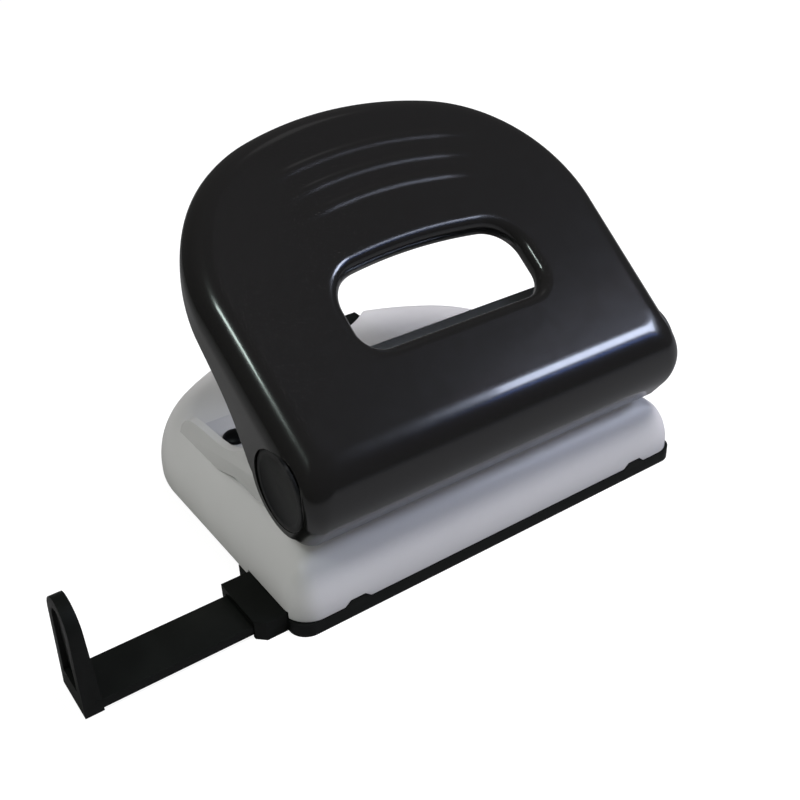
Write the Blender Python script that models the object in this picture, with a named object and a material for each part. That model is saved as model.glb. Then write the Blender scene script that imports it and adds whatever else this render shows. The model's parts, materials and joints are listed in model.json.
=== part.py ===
# Two-hole desk punch: pressed steel base and lever, two punch pins, snap-on chip tray, paper guide.
# Lengths are in metres. X runs across the punch, Y from the paper side to the back, Z up.
# The origin lies on the desk, under the middle of the base.
import math

import bmesh
import bpy
from mathutils import Matrix, Vector

MM = 0.001

# Clearances between pieces
TOUCH_GAP = 0.3 * MM
HOLE_GAP = 0.2 * MM
OVERRUN = 5.0 * MM

# Base shell, a pressed steel cover with pillow edges, standing out round the lever and behind the ears
BASE_SIDE_MARGIN = 3.2 * MM
BASE_BACK_MARGIN = 35.0 * MM
BASE_BACK_BOW = 40.0 * MM
BASE_TOP_Z = 17.3 * MM
BASE_RIM_Z = 3.4 * MM
BASE_SHEET = 1.2 * MM
BASE_EDGE_RISE = 13.0 * MM
BASE_EDGE_INSET = 10.5 * MM
BASE_FRONT_RADIUS = 6.0 * MM
BASE_CORNER_RADIUS = 33.0 * MM
BASE_LEAST_RADIUS = 2.5 * MM
FINGER_NOTCH_RADIUS = 27.0 * MM
FINGER_NOTCH_DEPTH = 19.5 * MM
SNAP_TO_SIDE = 14.3 * MM
SNAP_WIDTH = 6.5 * MM
SNAP_TOP_WIDTH = 3.0 * MM
SNAP_RISE = 1.2 * MM

# Chip tray, moulded, snapped into the base from below
TRAY_FLOOR = 1.6 * MM
TRAY_BLOCK_DEPTH = 25.8 * MM
TRAY_INSET = 3.4 * MM
TRAY_WALL = 1.4 * MM
TRAY_WALL_TOP = 8.0 * MM
TRAY_TAB_SIDE_GAP = 3.45 * MM
TRAY_TAB_SETBACK = 7.5 * MM
TRAY_TAB_TOP = 15.4 * MM
TRAY_TAB_WALL = 1.8 * MM

# Paper guide, a bar that slides in the tray
GUIDE_FRONT = 6.9 * MM
GUIDE_WIDTH = 11.7 * MM
GUIDE_THICKNESS = 2.8 * MM
GUIDE_LIP = 1.0 * MM
GUIDE_STEP = 1.9 * MM
GUIDE_BAR_END_MARGIN = 2.6 * MM
GUIDE_DRAWN_OUT = 29.8 * MM
GUIDE_TAB_HEIGHT = 25.4 * MM
GUIDE_TAB_FOOT = 6.0 * MM
GUIDE_TAB_TIP = 3.6 * MM
GUIDE_TAB_TOP_RADIUS = 5.4 * MM
GUIDE_POCKET_DEPTH = 1.4 * MM
GUIDE_POCKET_MARGIN = 2.3 * MM
GUIDE_LEAN_SHARE = 0.35
COLLAR_REACH = 6.6 * MM
COLLAR_ROOF = 1.2 * MM
COLLAR_CHEEK = 2.2 * MM
COLLAR_CORNER = 1.8 * MM

# Hinge and lever shell; V runs up the lever from the hinge and W stands square to its plate
HINGE_Y = 9.2 * MM
HINGE_Z = 31.0 * MM
LEVER_TILT = math.radians(37.1)
LEVER_TRAVEL = math.radians(27.0)
LEVER_SHEET = 1.2 * MM
LEVER_NOSE_RADIUS = 12.0 * MM
LEVER_LENGTH = 76.4 * MM
LEVER_BACK_BOW = 38.6 * MM
LEVER_CORNER_RADIUS = 36.0 * MM
LEVER_EDGE_RADIUS = 6.5 * MM
LEVER_NOSE_CORNER_RADIUS = 4.5 * MM
LEVER_LEAST_RADIUS = 2.0 * MM
LEVER_SKIRT_DROP = 11.8 * MM
LEVER_RIM_DROP = 5.6 * MM
LEVER_NOSE_LIP = 5.2 * MM
LOBE_RADIUS = 10.5 * MM
CHEEK_LEVEL_SHARES = (0.35, 0.7)
OPENING_HALF_WIDTH = 24.1 * MM
OPENING_FRONT = 17.1 * MM
OPENING_DEPTH = 19.1 * MM
OPENING_FRONT_RADIUS = 5.5 * MM
OPENING_CORNER_RADIUS = 9.5 * MM
OPENING_BACK_BOW = 9.8 * MM
OPENING_ROLL = 2.0 * MM
OPENING_FLANGE = 4.0 * MM
RIB_CROWN_RADIUS = 100.0 * MM
RIB_TO_BACK = 14.0 * MM
RIB_PITCH = 5.7 * MM
RIB_HEIGHT = 0.6 * MM
RIB_WIDTH = 3.0 * MM
RIB_HALF_LENGTH = 25.0 * MM
RIB_GROWTH = 3.0 * MM
RIB_COUNT = 3
RIB_END_SHARE = 0.1
RIB_SECTION_SHARES = [(-0.5, 0.0), (-0.22, 0.85), (0.0, 1.0), (0.22, 0.85), (0.5, 0.0)]

# Hinge axle and its caps
AXLE_RADIUS = 2.5 * MM
AXLE_BORE_RADIUS = 1.5 * MM
AXLE_BORE_DEPTH = 3.5 * MM
CAP_RADIUS = 8.7 * MM
CAP_THICKNESS = 0.8 * MM
CAP_DISH = 0.5 * MM
CAP_RIM = 1.1 * MM
CAP_STEM_LENGTH = 2.6 * MM
CAP_RECESS = 0.5 * MM

# Punch frame, a pressed steel bridge riveted to the base
SLOT_HEIGHT = 1.7 * MM
FRAME_SHEET = 1.5 * MM
FRAME_PIN_TO_FRONT = 14.6 * MM
FRAME_BACK_SETBACK = 5.0 * MM
PIN_TO_EAR = 6.9 * MM
EAR_SIDE_GAP = 1.2 * MM
EAR_HINGE_TO_FRONT = 7.0 * MM
EAR_FOOT_LENGTH = 28.4 * MM
EAR_TOP_RISE = 6.0 * MM
STOP_TO_PIN = 12.0 * MM

# Upper guide bar between the ears
GUIDE_BAR_SHEET = 1.2 * MM
GUIDE_BAR_DEPTH = 10.4 * MM
GUIDE_BAR_TONGUE = 6.0 * MM
GUIDE_BAR_RISE = 3.4 * MM

# Punch pins, their springs, washers and clips
PIN_OFFSET = 40.0 * MM
PIN_TO_HINGE = 13.4 * MM
PIN_RADIUS = 3.0 * MM
PIN_DOME_RADIUS = 8.0 * MM
PIN_GROOVE_RADIUS = 2.3 * MM
PIN_NOTCH_DEPTH = 1.0 * MM
PIN_TIP_SETBACK = 0.4 * MM
PIN_DOME_SHARES = (0.66, 0.33, 0.08)
CLIP_THICKNESS = 0.8 * MM
CLIP_RADIUS = 4.6 * MM
CLIP_OPENING = 3.4 * MM
WASHER_THICKNESS = 0.5 * MM
WASHER_RADIUS = 4.8 * MM
SPRING_WIRE = 0.8 * MM
SPRING_CLEARANCE = 0.5 * MM
SPRING_TURNS = 4.5

# Press bar under the lever plate
PRESS_TILT = math.radians(22.1)
PRESS_OFFSET = 9.0 * MM
PRESS_SHEET = 1.5 * MM
PRESS_START = 7.5 * MM
PRESS_END = 18.0 * MM
PRESS_FLANGE = 5.5 * MM
PRESS_SIDE_GAP = 2.4 * MM

# Die plate and rivets
DIE_SHEET = 1.5 * MM
DIE_END_MARGIN = 5.0 * MM
DIE_DEPTH = 14.0 * MM
RIVET_RADIUS = 1.6 * MM
RIVET_HEAD_RADIUS = 3.0 * MM
RIVET_TAIL_RADIUS = 2.4 * MM
RIVET_HEAD_HEIGHT = 1.4 * MM
RIVET_TAIL_HEIGHT = 0.9 * MM
RIVET_HEAD_SHARES = [(1.0, 0.0), (0.92, 0.45), (0.62, 0.85), (0.25, 1.0)]
FRAME_RIVET_TO_EAR = 5.9 * MM
FRAME_RIVET_TO_BACK = 10.0 * MM
FRAME_RIVET_INNER_SHARE = 0.5
DIE_RIVET_SHARE = 0.55

# Skirt edge of the lever: shares of the lever's length, and of the skirt's drop below the plate's rim
SKIRT_SHARES = [
    (1.10, 0.00), (0.76, 0.00), (0.69, 0.04), (0.63, 0.15), (0.56, 0.29), (0.48, 0.41), (0.39, 0.50),
    (0.31, 0.59), (0.25, 0.71), (0.20, 0.85), (0.16, 0.98), (0.13, 1.09), (0.10, 1.18),
]
# Top edge of an ear: shares of its length from the back foot, and of its height over the base
EAR_SHARES = [
    (0.00, 0.00), (0.03, 0.14), (0.09, 0.30), (0.17, 0.36), (0.27, 0.38), (0.38, 0.40),
    (0.46, 0.45), (0.53, 0.56), (0.580, 0.66), (0.593, 0.78), (0.600, 0.93), (0.615, 1.00),
]

SEGMENTS = 24
COIL_POINTS = 10

# Places that follow from the sizes
PIN_Y = HINGE_Y + PIN_TO_HINGE
STOP_Y = PIN_Y + STOP_TO_PIN
EAR_INNER = PIN_OFFSET + PIN_TO_EAR
EAR_OUTER = EAR_INNER + FRAME_SHEET
EAR_FRONT = HINGE_Y - EAR_HINGE_TO_FRONT
EAR_BACK = STOP_Y + EAR_FOOT_LENGTH
FRAME_FRONT = PIN_Y - FRAME_PIN_TO_FRONT
FRAME_BACK = EAR_BACK - FRAME_BACK_SETBACK
FRAME_RIVET_Y = FRAME_BACK - FRAME_RIVET_TO_BACK
FRAME_RIVET_OFFSETS = (PIN_OFFSET * FRAME_RIVET_INNER_SHARE, EAR_INNER - FRAME_RIVET_TO_EAR)
DIE_RIVET_OFFSET = PIN_OFFSET * DIE_RIVET_SHARE
DIE_HALF_LENGTH = PIN_OFFSET + DIE_END_MARGIN
PRESS_HALF_LENGTH = EAR_INNER - PRESS_SIDE_GAP
LEVER_HALF_WIDTH = EAR_OUTER + EAR_SIDE_GAP + LEVER_SHEET
LEVER_SIDE_END = LEVER_LENGTH - LEVER_BACK_BOW
OPENING_BACK = OPENING_FRONT + OPENING_DEPTH
OPENING_SIDE_END = OPENING_BACK - OPENING_BACK_BOW
RIB_FIRST = LEVER_LENGTH - RIB_TO_BACK - (RIB_COUNT - 1) * RIB_PITCH
BASE_HALF_WIDTH = LEVER_HALF_WIDTH + BASE_SIDE_MARGIN
BASE_DEPTH = EAR_BACK + BASE_BACK_MARGIN
BASE_SIDE_END = BASE_DEPTH - BASE_BACK_BOW
FINGER_NOTCH_FRONT = BASE_DEPTH - FINGER_NOTCH_DEPTH
SNAP_OFFSET = BASE_HALF_WIDTH - SNAP_TO_SIDE
TRAY_TAB_BACK = BASE_DEPTH - TRAY_TAB_SETBACK
TRAY_TAB_TO_CENTRE = FINGER_NOTCH_RADIUS - FINGER_NOTCH_DEPTH + TRAY_TAB_SETBACK
TRAY_TAB_HALF_WIDTH = math.sqrt(FINGER_NOTCH_RADIUS**2 - TRAY_TAB_TO_CENTRE**2) - TRAY_TAB_SIDE_GAP
COLLAR_END = BASE_HALF_WIDTH + COLLAR_REACH
GUIDE_REACH = COLLAR_END + GUIDE_DRAWN_OUT
GUIDE_BAR_END = BASE_HALF_WIDTH - GUIDE_BAR_END_MARGIN
GUIDE_BAR_LENGTH = COLLAR_END + GUIDE_BAR_END
SLOT_ROOF_Z = BASE_TOP_Z + SLOT_HEIGHT
FRAME_TOP_Z = SLOT_ROOF_Z + FRAME_SHEET
PRESS_ANGLE_REST = LEVER_TILT - PRESS_TILT
GUIDE_BAR_Z = HINGE_Z + GUIDE_BAR_RISE
CLIP_TOP_Z = GUIDE_BAR_Z - TOUCH_GAP
CLIP_Z = CLIP_TOP_Z - CLIP_THICKNESS
WASHER_Z = CLIP_Z - TOUCH_GAP - WASHER_THICKNESS
SPRING_BOTTOM_Z = FRAME_TOP_Z + TOUCH_GAP
SPRING_TOP_Z = WASHER_Z - TOUCH_GAP
SPRING_MEAN_RADIUS = PIN_RADIUS + SPRING_CLEARANCE + SPRING_WIRE / 2
DIE_TOP_Z = BASE_TOP_Z - BASE_SHEET - TOUCH_GAP
GUIDE_Z = TOUCH_GAP
GUIDE_TOP_Z = GUIDE_Z + GUIDE_THICKNESS
CHANNEL_TOP_Z = GUIDE_TOP_Z + TOUCH_GAP
COLLAR_TOP_Z = CHANNEL_TOP_Z + COLLAR_ROOF
COLLAR_FRONT = GUIDE_FRONT - COLLAR_CHEEK
COLLAR_BACK = GUIDE_FRONT + GUIDE_WIDTH + COLLAR_CHEEK
TRAY_RIM_Z = BASE_RIM_Z - TOUCH_GAP


def pin_top(lever_angle):
    """Height of a pin's dome when the press bar has turned down by lever_angle."""
    tilt = PRESS_ANGLE_REST - lever_angle
    face = HINGE_Z + PIN_TO_HINGE * math.tan(tilt) + PRESS_OFFSET / math.cos(tilt)
    return face - PIN_DOME_RADIUS * (1 / math.cos(tilt) - 1) - TOUCH_GAP


PIN_TOP_Z = pin_top(0.0)
PIN_TRAVEL = PIN_TOP_Z - pin_top(LEVER_TRAVEL)
PIN_TIP_Z = SLOT_ROOF_Z + PIN_TIP_SETBACK


def clear_scene():
    """Remove every object that the opened file holds."""
    for item in list(bpy.data.objects):
        bpy.data.objects.remove(item, do_unlink=True)


def material(name, colour, metallic, roughness):
    """A plain finish for one piece."""
    made = bpy.data.materials.new(name)
    made.use_nodes = True
    shader = made.node_tree.nodes["Principled BSDF"]
    shader.inputs["Base Color"].default_value = (*colour, 1.0)
    shader.inputs["Metallic"].default_value = metallic
    shader.inputs["Roughness"].default_value = roughness
    return made


def grey_paint(name):
    return material(name, (0.52, 0.53, 0.55), 0.0, 0.28)


def black_paint(name):
    return material(name, (0.012, 0.012, 0.014), 0.0, 0.22)


def black_plastic(name):
    return material(name, (0.010, 0.010, 0.010), 0.0, 0.55)


def steel(name):
    return material(name, (0.55, 0.55, 0.56), 1.0, 0.32)


def new_object(name, mesh, finish=None):
    """Link a mesh to the scene under a name."""
    item = bpy.data.objects.new(name, mesh)
    bpy.context.scene.collection.objects.link(item)
    if finish is not None:
        mesh.materials.append(finish(name + "_finish"))
    return item


def mesh_from(bm, name):
    """Turn a bmesh into a mesh with its faces pointing out."""
    bmesh.ops.recalc_face_normals(bm, faces=bm.faces)
    mesh = bpy.data.meshes.new(name)
    bm.to_mesh(mesh)
    bm.free()
    return mesh


def loft(name, rings, finish=None):
    """A closed solid through rings of equal length, with its first and last ring filled."""
    bm = bmesh.new()
    loops = [[bm.verts.new(point) for point in ring] for ring in rings]
    count = len(loops[0])
    for lower, upper in zip(loops, loops[1:]):
        for i in range(count):
            j = (i + 1) % count
            bm.faces.new((lower[i], lower[j], upper[j], upper[i]))
    bm.faces.new(list(reversed(loops[0])))
    bm.faces.new(loops[-1])
    return new_object(name, mesh_from(bm, name), finish)


def box(name, low, high, finish=None):
    """A block between two corners."""
    outline = [(low[0], low[1]), (high[0], low[1]), (high[0], high[1]), (low[0], high[1])]
    return loft(name, [[(x, y, z) for x, y in outline] for z in (low[2], high[2])], finish)


def across(name, profile, x_low, x_high, finish=None):
    """A profile of (y, z) points carried along X."""
    return loft(name, [[(x, y, z) for y, z in profile] for x in (x_low, x_high)], finish)


def circle(radius, count=SEGMENTS, start=0.0):
    """Points of a circle round the origin."""
    step = math.tau / count
    return [(radius * math.cos(start + i * step), radius * math.sin(start + i * step)) for i in range(count)]


def turned(name, profile, centre, axis="Z", finish=None):
    """A solid turned from (radius, height) pairs about an upright or sideways line through centre."""
    rings = []
    for radius, height in profile:
        ring = []
        for a, b in circle(radius):
            if axis == "Z":
                ring.append((centre[0] + a, centre[1] + b, height))
            else:
                ring.append((height, centre[1] + a, centre[2] + b))
        rings.append(ring)
    return loft(name, rings, finish)


def combine(target, tool, operation):
    """Cut a tool out of a target, or weld it on, and keep only the result."""
    step = target.modifiers.new(operation, "BOOLEAN")
    step.operation = operation
    step.solver = "EXACT"
    step.object = tool
    graph = bpy.context.evaluated_depsgraph_get()
    result = bpy.data.meshes.new_from_object(target.evaluated_get(graph), depsgraph=graph)
    target.modifiers.clear()
    target.data = result
    bpy.data.objects.remove(tool, do_unlink=True)
    return target


def cut(target, tool):
    return combine(target, tool, "DIFFERENCE")


def weld(target, tool):
    return combine(target, tool, "UNION")


def arc(centre_x, centre_y, radius, start, end, steps):
    """Points of an arc, both ends included, with angles in radians."""
    turn = (end - start) / steps
    return [
        (centre_x + radius * math.cos(start + i * turn), centre_y + radius * math.sin(start + i * turn))
        for i in range(steps + 1)
    ]


def d_outline(half_width, front, back, front_radius, corner_radius, side_end, fine=1):
    """A D with a straight front, straight sides and a bowed back, counter-clockwise from the front."""
    centre = half_width - corner_radius
    rise = side_end - back
    crown = (corner_radius**2 - centre**2 - rise**2) / (2 * (rise + corner_radius))
    meet = math.atan2(side_end - back + crown, centre)
    quarter = math.pi / 2
    right = [(0.0, front)]
    right += arc(half_width - front_radius, front + front_radius, front_radius, -quarter, 0.0, 4 * fine)
    right += [(half_width, front + front_radius + (side_end - front - front_radius) / 2)]
    right += arc(centre, side_end, corner_radius, 0.0, meet, 6 * fine)
    right += arc(0.0, back - crown, crown, meet, quarter, 4 * fine)[1:]
    left = [(-x, y) for x, y in reversed(right[1:-1])]
    return right + left


def base_outline(inset):
    """The base's outline, drawn in by an inset."""
    return d_outline(
        BASE_HALF_WIDTH - inset,
        inset,
        BASE_DEPTH - inset,
        max(BASE_FRONT_RADIUS - inset, BASE_LEAST_RADIUS),
        BASE_CORNER_RADIUS - inset,
        BASE_SIDE_END,
    )


def base_rings(offset, bottom, steps=6):
    """Rings of the base's outer or inner face, from its rim to its flat top."""
    rings = [[(x, y, bottom) for x, y in base_outline(offset)]]
    for i in range(steps + 1):
        turn = math.pi / 2 * i / steps
        inset = offset + (BASE_EDGE_INSET - offset) * (1 - math.cos(turn))
        rise = (BASE_EDGE_RISE - offset) * math.sin(turn)
        height = BASE_TOP_Z - BASE_EDGE_RISE + rise
        rings.append([(x, y, height) for x, y in base_outline(inset)])
    return rings


def base_surface_z(x):
    """Height of the base's outer face at a distance x from the middle."""
    into_edge = max(0.0, x - (BASE_HALF_WIDTH - BASE_EDGE_INSET)) / BASE_EDGE_INSET
    return BASE_TOP_Z - BASE_EDGE_RISE * (1 - math.sqrt(1 - into_edge**2))


def notch_outline(back, gap=0.0):
    """The finger notch in the back edge, seen from above."""
    centre_y = FINGER_NOTCH_FRONT + FINGER_NOTCH_RADIUS
    return arc(0.0, centre_y, FINGER_NOTCH_RADIUS - gap, math.radians(215), math.radians(325), 16) + [
        (FINGER_NOTCH_RADIUS - gap, back),
        (gap - FINGER_NOTCH_RADIUS, back),
    ]


def base_shell():
    """The grey pressed cover, with die holes, rivet holes, the finger notch and snap notches."""
    outer = base_rings(0.0, BASE_RIM_Z)
    inner = base_rings(BASE_SHEET, BASE_RIM_Z)
    shell = loft("base_shell", list(reversed(outer)) + inner, grey_paint)
    holes = [(side * PIN_OFFSET, PIN_Y, PIN_RADIUS + HOLE_GAP) for side in (-1, 1)]
    holes += [(x, FRAME_RIVET_Y, RIVET_RADIUS + HOLE_GAP) for x in frame_rivet_places()]
    holes += [(side * DIE_RIVET_OFFSET, PIN_Y, RIVET_RADIUS + HOLE_GAP) for side in (-1, 1)]
    for x, y, radius in holes:
        low = BASE_TOP_Z - OVERRUN
        high = BASE_TOP_Z + OVERRUN
        cut(shell, turned("hole", [(radius, low), (radius, high)], (x, y)))
    notch = notch_outline(BASE_DEPTH + OVERRUN)
    cut(shell, loft("notch", [[(x, y, z) for x, y in notch] for z in (-OVERRUN, BASE_TOP_Z + OVERRUN)]))
    for side in (-1, 1):
        cut(shell, snap_lug(side * SNAP_OFFSET, TOUCH_GAP, -OVERRUN, OVERRUN))
    low = (-BASE_HALF_WIDTH - OVERRUN, COLLAR_FRONT - TOUCH_GAP, -OVERRUN)
    high = (-BASE_HALF_WIDTH + OVERRUN, COLLAR_BACK + TOUCH_GAP, COLLAR_TOP_Z + TOUCH_GAP)
    return cut(shell, box("collar_gap", low, high))


def snap_lug(x, gap, front, back):
    """A tapered snap lug on the tray's front rim, or with a gap the notch that takes it."""
    foot = SNAP_WIDTH / 2 + gap
    top = SNAP_TOP_WIDTH / 2 + gap
    low = -OVERRUN if gap else BASE_RIM_Z / 2
    rise = TRAY_RIM_Z + SNAP_RISE + gap
    profile = [(-foot, low), (foot, low), (foot, TRAY_RIM_Z), (top, rise), (-top, rise), (-foot, TRAY_RIM_Z)]
    return loft("snap", [[(x + a, y, z) for a, z in profile] for y in (front, back)])


def frame_rivet_places():
    return [side * offset for side in (-1, 1) for offset in FRAME_RIVET_OFFSETS]


def rivet(name, x, low, high):
    """One rivet of the punch frame: flat tail below low, shank, and domed head above high."""
    head = RIVET_HEAD_RADIUS
    tail = RIVET_TAIL_RADIUS
    profile = [(tail, low - RIVET_TAIL_HEIGHT), (tail, low), (RIVET_RADIUS, low), (RIVET_RADIUS, high)]
    for radius_share, height_share in RIVET_HEAD_SHARES:
        profile.append((head * radius_share, high + RIVET_HEAD_HEIGHT * height_share))
    return turned(name, profile, (x, FRAME_RIVET_Y), "Z", steel)


def frame_rivets():
    low = BASE_TOP_Z - BASE_SHEET - TOUCH_GAP
    high = BASE_TOP_Z + TOUCH_GAP + FRAME_SHEET + TOUCH_GAP
    places = sorted(frame_rivet_places())
    return [rivet(f"frame_rivet_{i + 1}", x, low, high) for i, x in enumerate(places)]


def die_plate():
    """The hardened strip under the base that the pins cut against."""
    low = (-DIE_HALF_LENGTH, PIN_Y - DIE_DEPTH / 2, DIE_TOP_Z - DIE_SHEET)
    high = (DIE_HALF_LENGTH, PIN_Y + DIE_DEPTH / 2, DIE_TOP_Z)
    plate = box("die_plate", low, high, steel)
    holes = [(side * PIN_OFFSET, PIN_RADIUS + HOLE_GAP) for side in (-1, 1)]
    holes += [(side * DIE_RIVET_OFFSET, RIVET_RADIUS + HOLE_GAP) for side in (-1, 1)]
    for x, radius in holes:
        profile = [(radius, low[2] - OVERRUN), (radius, high[2] + OVERRUN)]
        cut(plate, turned("hole", profile, (x, PIN_Y)))
    return plate


def die_rivet(name, x):
    """A rivet of the die plate, flush on top so that paper passes over it."""
    low = DIE_TOP_Z - DIE_SHEET - TOUCH_GAP
    profile = [
        (RIVET_TAIL_RADIUS, low - RIVET_TAIL_HEIGHT),
        (RIVET_TAIL_RADIUS, low),
        (RIVET_RADIUS, low),
        (RIVET_RADIUS, BASE_TOP_Z),
    ]
    return turned(name, profile, (x, PIN_Y), "Z", steel)


def ear_profile(x):
    """Outline of an ear in (y, z) at a distance x from the middle: back foot, top, front and slot."""
    foot_z = base_surface_z(x) + TOUCH_GAP
    top_z = HINGE_Z + EAR_TOP_RISE
    length = EAR_BACK - EAR_FRONT
    points = [
        (EAR_BACK - along * length, foot_z + up * (top_z - foot_z)) for along, up in EAR_SHARES
    ]
    points += arc(HINGE_Y, HINGE_Z, EAR_TOP_RISE, math.radians(90), math.radians(200), 10)
    slope_end = STOP_Y + SLOT_ROOF_Z - foot_z
    points += [(FRAME_FRONT, SLOT_ROOF_Z), (STOP_Y, SLOT_ROOF_Z), (slope_end, foot_z)]
    return points


def punch_frame():
    """The grey bridge: paper stop, slot roof with pin holes, foot and two ears."""
    inner = EAR_INNER + FRAME_SHEET / 2
    foot_z = BASE_TOP_Z + TOUCH_GAP
    profile = [
        (FRAME_FRONT, SLOT_ROOF_Z),
        (STOP_Y, SLOT_ROOF_Z),
        (STOP_Y, foot_z),
        (FRAME_BACK, foot_z),
        (FRAME_BACK, foot_z + FRAME_SHEET),
        (STOP_Y + FRAME_SHEET, foot_z + FRAME_SHEET),
        (STOP_Y + FRAME_SHEET, FRAME_TOP_Z),
        (FRAME_FRONT, FRAME_TOP_Z),
    ]
    frame = across("punch_frame", profile, -inner, inner, grey_paint)
    for side in (-1, 1):
        rings = [[(side * x, y, z) for y, z in ear_profile(x)] for x in (EAR_INNER, EAR_OUTER)]
        weld(frame, loft("ear", rings))
    holes = [(side * PIN_OFFSET, PIN_Y, PIN_RADIUS + HOLE_GAP) for side in (-1, 1)]
    holes += [(x, FRAME_RIVET_Y, RIVET_RADIUS + HOLE_GAP) for x in frame_rivet_places()]
    for x, y, radius in holes:
        cut(frame, turned("hole", [(radius, 0.0), (radius, FRAME_TOP_Z + OVERRUN)], (x, y)))
    reach = EAR_OUTER + OVERRUN
    bore = [(AXLE_RADIUS + HOLE_GAP, -reach), (AXLE_RADIUS + HOLE_GAP, reach)]
    cut(frame, turned("bore", bore, (0.0, HINGE_Y, HINGE_Z), "X"))
    half = GUIDE_BAR_TONGUE / 2 + HOLE_GAP
    low = (-reach, PIN_Y - half, GUIDE_BAR_Z - HOLE_GAP)
    high = (reach, PIN_Y + half, GUIDE_BAR_Z + GUIDE_BAR_SHEET + HOLE_GAP)
    return cut(frame, box("slots", low, high))


def upper_guide_bar():
    """The strip that steadies the pins, staked by its tongues into the ears."""
    half = EAR_INNER - TOUCH_GAP
    low_z = GUIDE_BAR_Z
    high_z = GUIDE_BAR_Z + GUIDE_BAR_SHEET
    front = PIN_Y - GUIDE_BAR_DEPTH / 2
    back = PIN_Y + GUIDE_BAR_DEPTH / 2
    bar = box("upper_guide_bar", (-half, front, low_z), (half, back, high_z), steel)
    tongue = GUIDE_BAR_TONGUE / 2
    weld(bar, box("tongue", (-EAR_OUTER, PIN_Y - tongue, low_z), (EAR_OUTER, PIN_Y + tongue, high_z)))
    for side in (-1, 1):
        radius = PIN_RADIUS + HOLE_GAP
        profile = [(radius, low_z - OVERRUN), (radius, high_z + OVERRUN)]
        cut(bar, turned("hole", profile, (side * PIN_OFFSET, PIN_Y)))
    return bar


def punch_pin(name, x):
    """A hardened pin with a domed top, a clip groove and a notched cutting end."""
    dome_half_angle = math.asin(PIN_RADIUS / PIN_DOME_RADIUS)
    dome_base = PIN_TOP_Z - PIN_DOME_RADIUS * (1 - math.cos(dome_half_angle))
    profile = [
        (PIN_RADIUS, PIN_TIP_Z),
        (PIN_RADIUS, CLIP_Z - TOUCH_GAP),
        (PIN_GROOVE_RADIUS, CLIP_Z - TOUCH_GAP),
        (PIN_GROOVE_RADIUS, CLIP_TOP_Z + TOUCH_GAP),
        (PIN_RADIUS, CLIP_TOP_Z + TOUCH_GAP),
        (PIN_RADIUS, dome_base),
    ]
    for share in PIN_DOME_SHARES:
        angle = dome_half_angle * share
        height = PIN_TOP_Z - PIN_DOME_RADIUS * (1 - math.cos(angle))
        profile.append((PIN_DOME_RADIUS * math.sin(angle), height))
    pin = turned(name, profile, (x, PIN_Y), "Z", steel)
    notch = [
        (PIN_Y - PIN_RADIUS, PIN_TIP_Z - OVERRUN),
        (PIN_Y - PIN_RADIUS, PIN_TIP_Z),
        (PIN_Y, PIN_TIP_Z + PIN_NOTCH_DEPTH),
        (PIN_Y + PIN_RADIUS, PIN_TIP_Z),
        (PIN_Y + PIN_RADIUS, PIN_TIP_Z - OVERRUN),
    ]
    return cut(pin, across("notch", notch, x - PIN_RADIUS * 2, x + PIN_RADIUS * 2))


def pin_clip(name, x):
    """The open ring that snaps into a pin's groove."""
    inner = PIN_GROOVE_RADIUS + TOUCH_GAP
    ring = turned(name, [(CLIP_RADIUS, CLIP_Z), (CLIP_RADIUS, CLIP_TOP_Z)], (x, PIN_Y), "Z", steel)
    hole = [(inner, CLIP_Z - OVERRUN), (inner, CLIP_TOP_Z + OVERRUN)]
    cut(ring, turned("hole", hole, (x, PIN_Y)))
    half = CLIP_OPENING / 2
    low = (x - half, PIN_Y - CLIP_RADIUS * 2, CLIP_Z - OVERRUN)
    return cut(ring, box("gap", low, (x + half, PIN_Y, CLIP_TOP_Z + OVERRUN)))


def spring_washer(name, x):
    """The washer that a pin's spring pushes against."""
    top = WASHER_Z + WASHER_THICKNESS
    ring = turned(name, [(WASHER_RADIUS, WASHER_Z), (WASHER_RADIUS, top)], (x, PIN_Y), "Z", steel)
    inner = PIN_RADIUS + HOLE_GAP
    return cut(ring, turned("hole", [(inner, WASHER_Z - OVERRUN), (inner, top + OVERRUN)], (x, PIN_Y)))


def coil_points(x):
    """Centre line of a pin's spring: one helix with a short straight run at each end."""
    low = SPRING_BOTTOM_Z + SPRING_WIRE / 2
    high = SPRING_TOP_Z - SPRING_WIRE / 2
    count = round(SPRING_TURNS * COIL_POINTS)
    points = []
    for i in range(count + 1):
        angle = math.tau * SPRING_TURNS * i / count
        height = low + (high - low) * i / count
        across_x = x + SPRING_MEAN_RADIUS * math.cos(angle)
        points.append(Vector((across_x, PIN_Y + SPRING_MEAN_RADIUS * math.sin(angle), height)))
    return points


def least_coil_gap(points):
    """Least clear distance between two turns of a coil, measured on its points."""
    apart = COIL_POINTS // 2
    least = min(
        (points[i] - points[j]).length for i in range(len(points)) for j in range(i + apart, len(points))
    )
    return least - SPRING_WIRE


def pin_spring(name, x):
    """The compression spring that lifts a pin and the lever."""
    points = coil_points(x)
    curve = bpy.data.curves.new(name, "CURVE")
    curve.dimensions = "3D"
    curve.bevel_depth = SPRING_WIRE / 2
    curve.bevel_resolution = 1
    curve.use_fill_caps = True
    spline = curve.splines.new("POLY")
    spline.points.add(len(points) - 1)
    for place, point in zip(spline.points, points):
        place.co = (*point, 1.0)
    curve.materials.append(steel(name + "_finish"))
    print(name, "least gap between turns", round(least_coil_gap(points) / MM, 2), "mm")
    return new_object(name, curve)


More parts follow.
